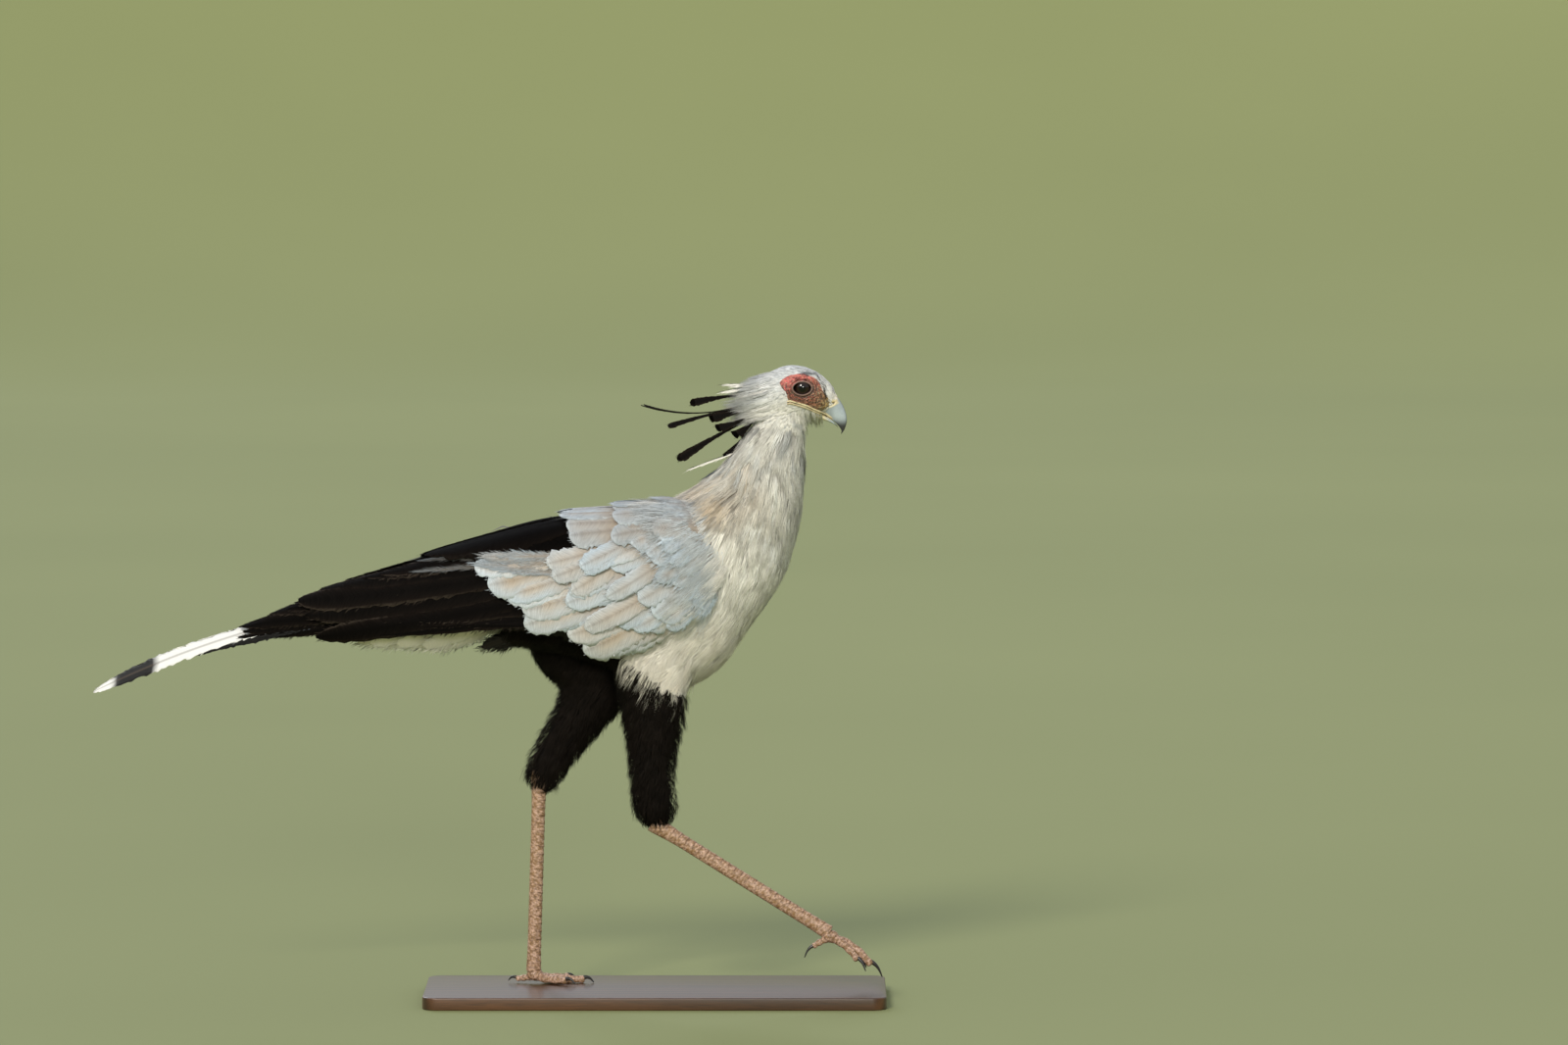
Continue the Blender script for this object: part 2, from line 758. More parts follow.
def tufts(surface, roots, normals, rng, style, colours, bake):
    """Strands for tufts at the roots. A tuft's strands part from a common root, follow the skin
    and close up again towards the tip by the style's pinch."""
    way = lie_at(roots, normals, rng, style["scatter"])
    if "way" in style:
        flat = np.array(style["way"]) - normals * (normals @ np.array(style["way"]))[:, None]
        way = unit(0.3 * way + flat)
    count = len(roots)
    length = style["length"] * rng.uniform(0.7, 1.2, count)
    shares = np.array([0.0, 0.45, 1.0])
    heights = np.array([-0.2, 0.72, 1.0])
    skins, ups = [roots], [normals]
    for share in shares[1:]:
        on_skin, up = nearest(surface, roots + way * (length * share)[:, None])
        skins.append(on_skin)
        ups.append(up)
    if "fly" in style:
        for n in (1, 2):
            free = roots + np.array(style["fly"]) * (length * shares[n])[:, None]
            skins[n] = skins[n] + (free - skins[n]) * shares[n] ** 0.5
    sideways = unit(np.cross(normals, way))
    tuft_lift = style["lift"] * rng.uniform(0.75, 1.1, count)
    tuft_shade = rng.normal(1, style["variation"], count).clip(0.5, 1.35)
    groups = []
    for k in range(style["strands"]):
        fan = (k + 0.5) / style["strands"] * 2 - 1 + rng.normal(0, 0.2, count)
        stretch = rng.uniform(0.72, 1.0, count)
        drift = rng.normal(0, 0.06, count) * length
        lift = tuft_lift * rng.uniform(0.85, 1.08, count)
        path = [skins[0] + sideways * (0.5 * fan * style["tuft"])[:, None] - normals]
        for n in (1, 2):
            reached = skins[n - 1] + (skins[n] - skins[n - 1]) * stretch[:, None]
            spread = fan * style["tuft"] * (1 + (style["pinch"] - 1) * shares[n]) + drift * shares[n] ** 2
            height = lift * heights[n]
            path.append(reached + sideways * spread[:, None] + ups[n] * height[:, None])
        shade = (tuft_shade * rng.normal(1, 0.04, count))[:, None]
        groups.append(
            {
                "path": path,
                "sideways": sideways,
                "width": style["width"] * rng.uniform(0.75, 1.25, count),
                "thick": np.full(count, 0.15 * style["width"]),
                "length": length * stretch,
                "shift": rng.random(count),
                "root_colour": (colours * style["root_shade"] * shade).clip(0, 1),
                "tip_colour": (colours * shade).clip(0, 1),
                "bake": bake,
                "shading": ups,
            }
        )
    return groups


# Markings

WHITE = linear("#efebe2")
COOL_WHITE = linear("#e3e4e6")
CREAM = linear("#f0e9dc")
TAN = linear("#c9ab84")
BLACK = linear("#100e0d")
BROWN_BLACK = linear("#211a16")
SLATE = linear("#8d99a6")
COVERT = linear("#b2bfcb")


def mix(a, b, share):
    share = np.asarray(share)[..., None]
    return a * (1 - share) + b * share


def dark_share(points):
    """How black the plumage is: over the vent, round the rear thigh and down the other one."""
    x, z = points[:, 0], points[:, 2]
    vent = ramp(-x, 46, 66) * ramp(-z, -578, -566) * ramp(x, -225, -205)
    belly_edge = 448 + 0.75 * np.clip(30 - x, 0, 100)
    thigh = ramp(belly_edge - z, -7, 7) * ramp(-x, -75, -55)
    return np.maximum(vent, thigh)


def streaked(colours, points, rng):
    """Some tufts greyer and some browner, mostly on the neck and the crown."""
    x, z = points[:, 0], points[:, 2]
    chance = 0.25 + 0.75 * ramp(z, 700, 780)
    grey = chance * rng.random(len(points)) ** 4
    brown = chance * rng.random(len(points)) ** 5 * ramp(-x, -190, -120)
    return mix(mix(colours, SLATE, 0.45 * grey), TAN, 0.6 * brown)


def markings(points):
    """The plumage's own colour at places on the body: white head, cream breast, black thighs."""
    x, y, z = points.T
    colour = mix(CREAM, WHITE, ramp(z, 500, 640))
    crown = ramp(z, 850, 900)
    colour = mix(colour, COOL_WHITE, 0.8 * crown)
    colour = mix(colour, SLATE, 0.26 * ramp(z, 884, 906))
    hind = ramp(-(x - 0.9 * (z - 780)), -130, -80) * ramp(z, 740, 780)
    colour = mix(colour, COOL_WHITE, 0.7 * hind)
    tan_patch = np.exp(-(((x - 92) / 30) ** 2) - (((z - 722) / 20) ** 2))
    colour = mix(colour, TAN, 0.7 * tan_patch)
    base = np.exp(-(((x - 120) / 60) ** 2) - (((z - 735) / 35) ** 2))
    colour = mix(colour, TAN * 0.8, 0.25 * base)
    shoulder = ramp(-x, -104, -78) * ramp(z, 552, 600) * ramp(np.abs(y), 20, 40)
    colour = mix(colour, COVERT, 0.68 * shoulder)
    lower_back = ramp(-x, 40, 70) * ramp(z, 580, 600)
    colour = mix(colour, SLATE * 0.25, 0.9 * lower_back)
    return mix(colour, BROWN_BLACK * 0.6, dark_share(points))


# Eye and bare face

EYE = {"x": 210, "y": 15.7, "z": 878, "radius": 15}
LID = {"half_length": 11.2, "half_height": 8.3}
# How far the bare skin reaches from the eye's middle, by angle; 0 looks forward and 90 up
BARE = [
    [-180, 27],
    [-169, 22.5],
    [-155, 22.5],
    [-141, 24.5],
    [-115, 23],
    [-97, 22.5],
    [-80, 24.5],
    [-65, 31],
    [-51, 40.5],
    [-45, 44],
    [-39, 45.5],
    [-30, 43.5],
    [-22, 40],
    [-16, 34],
    [-6, 28],
    [12, 25],
    [32, 22.5],
    [60, 18.5],
    [90, 18.5],
    [118, 20.5],
    [150, 28],
    [165, 32],
    [180, 27],
]


def bare_reach(angle):
    table = np.array(BARE, float)
    return np.interp(np.degrees(angle), table[:, 0], table[:, 1])


def eye_polar(points):
    dx, dz = points[:, 0] - EYE["x"], points[:, 2] - EYE["z"]
    return np.hypot(dx, dz), np.arctan2(dz, dx)


def bare_share(points, margin):
    """1 well inside the bare skin of the face, 0 outside it."""
    distance, angle = eye_polar(points)
    ragged = 0.9 * (1 + np.sin(9 * angle) * np.sin(14 * angle + 1))
    return (distance < bare_reach(angle) - margin - ragged) & (np.abs(points[:, 1]) > 9)


# Skin and coat

skin = flesh("skin", 1.0, 5.0)
sink_sockets(skin, 8.0)
skin_points = points_of(skin.data)
skin_normals = normals_of(skin.data)
set_colour(skin.data, markings(skin_points) * 0.75)
set_uv(skin.data, "Lie", skin_points[:, [0, 2]])
dress(skin, WHITE_PLUMES, "white_feathers", "head", "neck", "torso", "thigh_left", "thigh_right")
skin_surface = surface_of(skin)
skin_quads = corners_of(skin.data).reshape(-1, 4)
skin_triangles = np.concatenate([skin_quads[:, [0, 1, 2]], skin_quads[:, [0, 2, 3]]])
triangle_middles = skin_points[skin_triangles].mean(1)

HEAD_CUT = {"x": 177, "z": 819, "up": (-0.15, 0.99)}
NECK_CUT = {"x": 132, "z": 677, "up": (0.5, 0.87)}


def over(points, cut):
    up_x, up_z = cut["up"]
    return (points[:, 0] - cut["x"]) * up_x + (points[:, 2] - cut["z"]) * up_z


# The upper and front limit of the wing's own feathers: Z, and the foremost X there
WING_FRONT = [[540, 30], [566, 44], [592, 60], [612, 76], [634, 84], [694, 22], [734, -20], [760, -40]]


def under_wing(points):
    rows = np.array(WING_CORE[::-1], float)
    low = np.interp(points[:, 0], rows[:, 0], rows[:, 1])
    front_z, front_x = np.array(WING_FRONT, float).T
    behind = points[:, 0] < np.interp(points[:, 2], front_z, front_x) - 14
    edge = low + np.interp(points[:, 0], [-20, 60], [-18, 22])
    on_flank = (points[:, 0] > rows[0, 0]) & (points[:, 2] > edge) & (np.abs(points[:, 1]) > 22)
    return behind & on_flank


def at_shoulder(points):
    """The band of skin in front of the wing, whose feathers lie over the wing's edge."""
    front_z, front_x = np.array(WING_FRONT, float).T
    ahead = points[:, 0] - np.interp(points[:, 2], front_z, front_x)
    high = (points[:, 2] > 545) & (points[:, 2] < 752)
    return (ahead > -22) & (ahead < 26) & high & (np.abs(points[:, 1]) > 26)


def at_bill(points):
    return (points[:, 0] > 234) & (points[:, 2] < 852)


def below_head(points):
    return over(points, HEAD_CUT) <= np.where(points[:, 0] < 188, 12, 0)


def at_chin(points):
    x, z = points[:, 0], points[:, 2]
    return (x > 196) & (x < 235) & (z > 800) & (z < 850)


def is_dark(points):
    return dark_share(points) > 0.5


REGIONS = {
    "head": lambda p: (over(p, HEAD_CUT) > 0) & (p[:, 0] > 128) & ~bare_share(p, 0.5) & ~at_bill(p),
    "nape": lambda p: (over(p, HEAD_CUT) > 20) & (p[:, 0] < 172) & (p[:, 0] > 128),
    "neck": lambda p: below_head(p) & (over(p, NECK_CUT) > 0) & ~under_wing(p),
    "breast": lambda p: (over(p, NECK_CUT) <= 0) & (p[:, 0] > -15) & ~under_wing(p) & ~is_dark(p),
    "wisps": lambda p: (p[:, 0] > -40) & (p[:, 0] < 56) & (p[:, 2] < 512) & ~under_wing(p) & ~is_dark(p),
    "shoulder": at_shoulder,
    "chin": lambda p: at_chin(p) & ~bare_share(p, 0.5),
    "back": lambda p: (p[:, 0] <= -15) & ~under_wing(p) & ~is_dark(p),
    "thigh_left": lambda p: is_dark(p) & (p[:, 1] > 0) & ~under_wing(p),
    "thigh_right": lambda p: is_dark(p) & (p[:, 1] <= 0) & ~under_wing(p),
    "fuzz_left": lambda p: is_dark(p) & (p[:, 1] > 0) & ~under_wing(p),
    "fuzz_right": lambda p: is_dark(p) & (p[:, 1] <= 0) & ~under_wing(p),
}
THIGH_STYLE = dict(
    spacing=7.0, strands=9, length=32, tuft=5, pinch=0.7, width=1.0, lift=14,
    scatter=0.42, variation=0.25, root_shade=0.8,
)
FUZZ_STYLE = dict(
    spacing=10.5, strands=8, length=17, tuft=6, pinch=1.5, width=0.6, lift=17,
    scatter=0.7, variation=0.25, root_shade=1.0,
)
COATS = {
    "head": dict(
        spacing=2.6, strands=4, length=13, tuft=1.2, pinch=0.6, width=0.85, lift=1.9,
        scatter=0.1, variation=0.06, root_shade=0.9,
    ),
    "nape": dict(
        spacing=5.0, strands=10, length=44, tuft=3.4, pinch=0.25, width=0.6, lift=3,
        scatter=0.25, variation=0.14, root_shade=1.0, fly=(-0.95, 0.0, -0.3),
    ),
    "neck": dict(
        spacing=7.5, strands=13, length=54, tuft=6.5, pinch=0.25, width=0.9, lift=7,
        scatter=0.24, variation=0.22, root_shade=0.52,
    ),
    "breast": dict(
        spacing=8.7, strands=10, length=62, tuft=8, pinch=0.35, width=1.3, lift=7,
        scatter=0.2, variation=0.08, root_shade=0.9,
    ),
    "wisps": dict(
        spacing=8, strands=9, length=44, tuft=5, pinch=0.25, width=0.7, lift=11,
        scatter=0.25, variation=0.05, root_shade=0.9, fly=(-0.45, 0.0, -0.9),
    ),
    "shoulder": dict(
        spacing=6.5, strands=14, length=42, tuft=6, pinch=0.5, width=0.7, lift=17,
        scatter=0.2, variation=0.07, root_shade=0.85, way=(-0.9, 0.0, -0.4),
    ),
    "chin": dict(
        spacing=6, strands=8, length=19, tuft=3, pinch=0.3, width=0.6, lift=4,
        scatter=0.3, variation=0.06, root_shade=0.95, fly=(0.12, 0.0, -0.95),
    ),
    "back": dict(
        spacing=11, strands=8, length=44, tuft=9, pinch=0.7, width=2.0, lift=6,
        scatter=0.2, variation=0.06, root_shade=0.85,
    ),
    "thigh_left": dict(THIGH_STYLE, way=(-0.4, 0.0, -0.9)),
    "thigh_right": dict(THIGH_STYLE, way=(-0.12, 0.0, -1.0)),
    "fuzz_left": dict(FUZZ_STYLE, way=(-0.5, 0.0, -0.8)),
    "fuzz_right": dict(FUZZ_STYLE, way=(-0.2, 0.0, -1.0)),
}
COAT_FACTS = {
    "head": (WHITE_PLUMES, "white_feathers", BODY, None),
    "nape": (WHITE_PLUMES, "white_feathers", BODY, None),
    "neck": (WHITE_PLUMES, "white_feathers", BODY, None),
    "breast": (WHITE_PLUMES, "white_feathers", BODY, None),
    "wisps": (WHITE_PLUMES, "white_feathers", BODY, None),
    "shoulder": (WHITE_PLUMES, "white_feathers", BODY, None),
    "chin": (WHITE_PLUMES, "white_feathers", BODY, None),
    "back": (WHITE_PLUMES, "white_feathers", BODY, None),
    "thigh_left": (DARK_DOWN, "black_feathers", THIGHS["left"], thigh_y(1)),
    "thigh_right": (DARK_DOWN, "black_feathers", THIGHS["right"], thigh_y(-1)),
    "fuzz_left": (DARK_DOWN, "black_feathers", THIGHS["left"], thigh_y(1)),
    "fuzz_right": (DARK_DOWN, "black_feathers", THIGHS["right"], thigh_y(-1)),
}


COAT_NODES = ("head", "neck", "thigh_left", "thigh_right")
OTHER_COAT_NODES = {
    "nape": "head",
    "chin": "neck",
    "breast": "torso",
    "wisps": "torso",
    "shoulder": "torso",
    "back": "torso",
    "fuzz_left": "thigh_left",
    "fuzz_right": "thigh_right",
}


def coat(region, seed):
    rng = np.random.default_rng(seed)
    style = COATS[region]
    material, slot, stations, y_of = COAT_FACTS[region]
    faces = skin_triangles[REGIONS[region](triangle_middles)]
    roots, normals = sample_roots(skin_points, skin_normals, faces, style["spacing"], rng)
    colours = markings(roots)
    if material is DARK_DOWN:
        colours = np.tile(BROWN_BLACK * 0.55, (len(roots), 1))
    else:
        colours = streaked(colours, roots, rng)
    bake = unwrap(stations, roots, y_of)
    groups = tufts(skin_surface, roots, normals, rng, style, colours, bake)
    piece = strand_piece(f"coat_{region}", groups)
    node = region if region in COAT_NODES else OTHER_COAT_NODES[region]
    dress(piece, material, slot, node)


for seed, region in enumerate(REGIONS):
    coat(region, 100 + seed)


# Feathers with a vane


def vane_outline(s):
    root = 0.45 + 0.55 * np.minimum(1, s / 0.35)
    past = np.maximum(0, (s - 0.78) / 0.22)
    return root * np.sqrt(np.maximum(0.02, 1 - past**2))


def quill_outline(s):
    paddle = s**2.4
    tip = np.sqrt(np.maximum(0.06, 1 - np.maximum(0, (s - 0.93) / 0.07) ** 2))
    return (0.12 + 1.1 * paddle) * tip


def vane_grid(shaft_rows, barb_columns):
    """The lattice of a vane: r along the shaft, b across it, and the faces of its closed shell."""
    r, b = np.meshgrid(np.linspace(0, 1, shaft_rows), np.linspace(-1, 1, barb_columns), indexing="ij")
    index = np.arange(r.size).reshape(r.shape)
    a, c = index[:-1, :-1].ravel(), index[1:, 1:].ravel()
    d, e = index[1:, :-1].ravel(), index[:-1, 1:].ravel()
    top = np.stack([a, d, c, e], -1)
    bottom = top[:, ::-1] + r.size
    rim = np.concatenate([index[0, :], index[1:, -1], index[-1, -2::-1], index[-2:0:-1, 0]])
    following = np.roll(rim, -1)
    sides = np.stack([rim, following, following + r.size, rim + r.size], -1)
    return r.ravel(), b.ravel(), np.concatenate([top, bottom, sides])


def feather_set(name, feathers, shaft_rows, barb_columns, rng, fringe=None):
    """Many vanes in one mesh. Each is a dict of place(s, across, h), length, half(s), colour(s, b)."""
    r, b, faces = vane_grid(shaft_rows, barb_columns)
    size = 2 * len(r)
    all_points, all_faces, all_lie, all_colours, all_bake = [], [], [], [], []
    cells = math.ceil(math.sqrt(len(feathers)))
    fringes = []
    for number, feather in enumerate(feathers):
        length, outline, lean = feather["length"], feather["half"], feather.get("lean", 1.1)
        half = outline(r)
        ragged = 1 + 0.1 * np.repeat(rng.normal(0, 1, shaft_rows), barb_columns) * (np.abs(b) > 0.99)
        across = half * b * ragged.clip(0.8, 1.2)
        advance = lean * np.abs(across) / length * np.minimum(1, (1 - r) / 0.3)
        s = r + advance * (1 - r)
        ripple = 0.07 * np.repeat(rng.normal(0, 1, shaft_rows), barb_columns) * np.abs(b)
        camber = feather.get("camber", 0.5) * (1 - b**2)
        shaft = feather.get("shaft", 0.5) * np.exp(-((across / 0.9) ** 2)) * (1 - 0.7 * r)
        thick = feather.get("thick", 0.4) * (1 - 0.6 * np.abs(b))
        top = feather["place"](s, across, camber + shaft + ripple + thick / 2)
        bottom = feather["place"](s, across, camber + ripple - thick / 2)
        all_points.append(np.concatenate([top, bottom]))
        all_faces.append(faced_out(faces, top, bottom) + number * size)
        shift = rng.random() * 300
        lie = np.stack([np.abs(across) * 1.4 + shift, (s - advance) * length + shift], -1)
        all_lie.append(np.tile(lie, (2, 1)))
        colours = feather["colour"](r, b, across, rng).clip(0, 1)
        all_colours.append(np.tile(colours, (2, 1)))
        row, column = divmod(number, cells)
        cell = np.stack([column + 0.04 + 0.92 * (b + 1) / 2, row + 0.04 + 0.92 * r], -1) / cells
        all_bake.append(np.tile(cell, (2, 1)))
        if fringe:
            fringes.append(fringe_of(feather, fringe, cell, colours, r, b, rng))
    piece = mesh_piece(name, np.concatenate(all_points), np.concatenate(all_faces))
    set_uv(piece.data, "OFBake", np.concatenate(all_bake))
    set_uv(piece.data, "Lie", np.concatenate(all_lie))
    set_colour(piece.data, np.concatenate(all_colours))
    return [piece, strand_piece(f"{name}_barbs", fringes)] if fringes else [piece]


def faced_out(faces, top, bottom):
    """The faces of a vane's shell, turned where its upper side would look inward."""
    a, b, c = (top[faces[0, k]] for k in range(3))
    inward = np.dot(np.cross(b - a, c - a), (top - bottom).mean(0)) < 0
    return faces[:, ::-1] if inward else faces


def fringe_of(feather, fringe, cell, colours, r, b, rng):
    """Loose barb tips along both edges of a vane, as strands."""
    count = max(8, int(feather["length"] / fringe["spacing"]))
    side = np.where(rng.random(count) < 0.5, -1.0, 1.0)
    at = rng.random(count) ** 0.8 * 0.97 + 0.02
    half = feather["half"](at)
    length = feather["length"]
    start_b = fringe["inner"] + (0.94 - fringe["inner"]) * rng.random(count) ** 0.6
    reach = fringe["reach"] * rng.uniform(0.5, 1.3, count)
    forward = feather.get("lean", 1.1) * np.minimum(1, (1 - at) / 0.3)
    tip_in = 1 - 0.9 * ramp(at, 0.75, 1.0)

    def at_share(f):
        across = side * (half * start_b + reach * f * fringe.get("slant", 0.75) * tip_in)
        s = at + forward * half * start_b / length * (1 - at) + reach * f * (0.65 + 0.4 * at) / length
        camber = feather.get("camber", 0.5) * (1 - start_b**2)
        return feather["place"](s, across, camber + 0.1 + fringe["rise"] * f)

    root, middle, tip = at_share(0), at_share(0.55), at_share(1.0)
    tip = tip + rng.normal(0, fringe["stray"], tip.shape) * reach[:, None]
    foot = side * half * start_b
    up = unit(feather["place"](at, foot, np.ones(count)) - feather["place"](at, foot, np.zeros(count)))
    sideways = unit(np.cross(up, tip - root))
    picked = ((r[None] - at[:, None]) ** 2 + (b[None] - (side * start_b)[:, None]) ** 2).argmin(1)
    shade = rng.uniform(0.85, 1.15, count)[:, None]
    return {
        "path": (root, middle, tip),
        "sideways": sideways,
        "width": np.full(count, fringe["width"]) * rng.uniform(0.7, 1.2, count),
        "thick": np.full(count, 0.25 * fringe["width"]),
        "length": reach,
        "shift": rng.random(count),
        "root_colour": (colours[picked] * shade).clip(0, 1),
        "tip_colour": (colours[picked] * shade * fringe.get("tip", 1.05)).clip(0, 1),
        "bake": cell[picked],
        "shading": [up, up, up],
    }


# The folded wing


class Fan:
    """Feathers between a line of roots and a line of tips, numbered from the lower end."""

    def __init__(self, count, roots, tips, bow=0.0):
        self.last = count - 1
        self.roots = np.array(roots, float)
        self.tips = np.array(tips, float)
        self.bow = bow

    def on(self, line, number):
        held = np.clip(number, 0, self.last)
        point = smooth(line, held / self.last)
        inner = smooth(line, (held + np.sign(held - number)) / self.last)
        return point + (point - inner) * np.abs(number - held)[..., None]

    def feather(self, number):
        number = np.asarray(number, float)
        root = self.on(self.roots, number)
        along = self.on(self.tips, number) - root
        down = unit(np.stack([-along[..., 1], along[..., 0]], -1))
        return root, along, np.where(down[..., 1:] > 0, -down, down)

    def bend(self, s):
        return self.bow * 4 * s * (1 - s)

    def space(self, number, s):
        root, along, down = self.feather(number)
        next_root, next_along, _ = self.feather(number + 1)
        root_way = np.abs(((next_root - root) * down).sum(-1))
        tip_way = np.abs(((next_root + next_along - root - along) * down).sum(-1))
        return root_way + (tip_way - root_way) * s

    def reach(self, spot, number):
        root, along, down = self.feather(number)
        away = spot - root
        s = (away * along).sum(-1) / (along**2).sum(-1)
        return s, (away * down).sum(-1) - self.bend(np.clip(s, 0, 1))

    def place_of(self, spot):
        low = np.full(len(spot), -3.0)
        high = np.full(len(spot), self.last + 3.0)
        for _ in range(16):
            middle = (low + high) / 2
            below = self.reach(spot, middle)[1] > 0
            high = np.where(below, middle, high)
            low = np.where(below, low, middle)
        return low, self.reach(spot, low)[0]


COVERT_EDGE = linear("#d2dbe3")
COVERT_WEAR = linear("#b09e8a")
COVERT_BASE = linear("#a49b92")
SHAFT_BROWN = linear("#57493d")
FLIGHT_EDGE = linear("#5b5148")


def covert_colour(wear, edge, light):
    """Blue-grey, brown down the middle where it is worn, with a pale edge."""

    def colour(r, b, across, rng):
        tone = light * rng.normal(1, 0.05)
        cast = 0.4 * rng.random() ** 2 * (wear > 0.3)
        mottle = np.interp(r, np.linspace(0, 1, 9), rng.normal(0, 0.12, 9))
        base = mix(COVERT_BASE, COVERT, ramp(r, 0.2, 0.6))
        base = mix(base, COVERT_WEAR * 1.2, cast * np.ones_like(r))
        worn = (wear + mottle) * np.exp(-((b / 0.55) ** 2)) * (1 - 0.7 * ramp(r, 0.75, 0.95))
        base = mix(base, COVERT_WEAR, np.clip(worn, 0, 1))
        rim = np.maximum(ramp(np.abs(b), 0.84, 1.0), ramp(r, 0.93, 0.99))
        base = mix(base, COVERT_EDGE, edge * rim)
        shaft = np.exp(-((across / 0.9) ** 2)) * (r < 0.97)
        return mix(base, SHAFT_BROWN, 0.3 * shaft) * tone

    return colour


def flight_colour(pale, depth):
    """Brown-black with a browner edge, paler where the vane is worn."""

    def colour(r, b, across, rng):
        tone = depth * rng.normal(1, 0.12)
        base = mix(BLACK * 0.7, BROWN_BLACK, 0.05 + 0.5 * ramp(np.abs(b), 0.3, 1.0))
        base = mix(base, FLIGHT_EDGE, pale * ramp(np.abs(b), 0.8, 1.0) * ramp(r, 0.15, 0.5))
        shaft = np.exp(-((across / 0.9) ** 2))
        return mix(base, BLACK * 0.6, 0.5 * shaft) * tone

    return colour


# The rows of a wing, in the side view: their feathers fan from a line of roots to a line of tips,
# both read from the lower end. lift is how far they lie from the flank at the root and the tip.
FLIGHT_ROWS = {
    "primaries": dict(
        count=8, width=32, lift=(-9, -6), pale=0.25, wild=0.2,
        roots=[[-250, 554], [-262, 606]],
        tips=[[-592, 525], [-588, 538], [-556, 556], [-500, 580]],
    ),
    "secondaries": dict(
        count=14, width=40, lift=(-6, 2.5), bow=5, pale=0.4, wild=0.4,
        roots=[[-40, 561], [-110, 602], [-185, 668]],
        tips=[[-270, 548], [-370, 547], [-450, 547], [-500, 562], [-470, 592], [-392, 626]],
    ),
    "tertials": dict(
        count=6, width=42, lift=(-4, 5), pale=0.1, light=0.5, wild=0.4,
        roots=[[-95, 668], [-100, 742]],
        tips=[[-290, 640], [-330, 656], [-318, 684]],
    ),
}
COVERT_ROWS = {
    "wedge": dict(
        count=9, width=8, lift=(-5, 7), wear=0.7, edge=0.1, light=0.72, wild=1.2,
        roots=[[-90, 618], [-105, 646]],
        tips=[[-206, 614], [-244, 626], [-214, 642]],
    ),
    "sheen": dict(
        count=3, width=2, lift=(-5, 3.5), wear=0.8, edge=0.1, light=0.3, wild=1.0,
        roots=[[-180, 634], [-185, 650]],
        tips=[[-318, 620], [-336, 630]],
    ),
    "greater": dict(
        count=12, width=40, lift=(-5, 6), bow=4, wear=0.75, edge=0.4, light=1.1, wild=0.7,
        roots=[[52, 566], [-125, 652]],
        tips=[[-65, 507], [-142, 540], [-207, 583], [-252, 626]],
    ),
    "median": dict(
        count=10, width=36, lift=(-5, 7), bow=3, wear=0.55, edge=0.35, wild=1.0,
        roots=[[70, 592], [-54, 664]],
        tips=[[-5, 537], [-85, 561], [-128, 589], [-144, 626]],
    ),
    "lesser": dict(
        count=10, width=32, lift=(-5, 7.5), bow=3, wear=0.45, edge=0.35, wild=1.3,
        roots=[[86, 612], [-10, 680]],
        tips=[[28, 554], [-46, 600], [-93, 641]],
    ),
    "shoulder": dict(
        count=10, width=26, lift=(-5, 8), bow=2, wear=0.45, edge=0.35, light=0.93, wild=1.4,
        roots=[[94, 634], [24, 694]],
        tips=[[60, 574], [19, 612], [-38, 656]],
    ),
    "marginal": dict(
        count=12, width=18, lift=(-4, 8.4), bow=1, wear=0.15, edge=0.5, wild=1.4,
        roots=[[98, 600], [96, 650], [50, 706]],
        tips=[[66, 562], [54, 606], [2, 676]],
    ),
    "scapulars": dict(
        count=7, width=38, lift=(-4, 6.5), wear=0.5, edge=0.6, light=0.84,
        roots=[[-30, 676], [-20, 734]],
        tips=[[-134, 664], [-124, 726]],
    ),
    "upper_scapulars": dict(
        count=6, width=32, lift=(-4, 7.5), wear=0.4, edge=0.6, light=0.8,
        roots=[[34, 690], [30, 740]],
        tips=[[-66, 672], [-58, 734]],
    ),
    "mantle": dict(
        count=7, width=26, lift=(-4, 8), wear=0.4, edge=0.4, light=0.8,
        roots=[[86, 668], [78, 734]],
        tips=[[8, 674], [-4, 740]],
    ),
}
# The rows whose feathers are loose and hairy
SOFT_ROWS = ("wedge", "sheen", "shoulder", "marginal", "mantle")
VANE_STEP = 0.55
VANE_REACH = 1.3


COVERT_CURL = 1.0


def row_feathers(side, row, colour, rng):
    fan = Fan(row["count"], row["roots"], row["tips"], row.get("bow", 0.0))
    made = []
    for k in range(row["count"]):
        root, along, down = fan.feather(float(k))
        length = np.linalg.norm(along)
        wild = row.get("wild", 1.0)
        turn = rng.normal(0, 0.075) * wild
        along = along + down * length * turn
        along = along * (1 + 0.08 * wild * rng.normal(0, 1))
        half = row["width"] / 2 * (1 + 0.14 * rng.normal(0, 1))
        extra = rng.normal(0, 0.35)

        def place(s, across, h, k=k, root=root, along=along, down=down, extra=extra):
            spot = root + along * s[:, None] + down * (across + fan.bend(s))[:, None]
            number, share = fan.place_of(spot)
            lift = row["lift"][0] + (row["lift"][1] - row["lift"][0]) * np.minimum(share, 1)
            over_next = np.clip(k - number, -VANE_REACH, VANE_REACH)
            curl = row.get("curl", 0) * ramp(s, 0.72, 1.0)
            height = lift + VANE_STEP * over_next + extra + h - curl
            point = flank_point(side, spot[:, 0], spot[:, 1], height)
            point[:, 1] = side * np.maximum(point[:, 1] * side, 0.3)
            return point

        def half_at(s, k=k, half=half):
            return np.minimum(half, 1.7 * fan.space(float(k), s)) * vane_outline(s)

        made.append(
            {
                "place": place,
                "length": length,
                "half": half_at,
                "colour": colour,
                "camber": row.get("camber", 0.5),
            }
        )
    return made


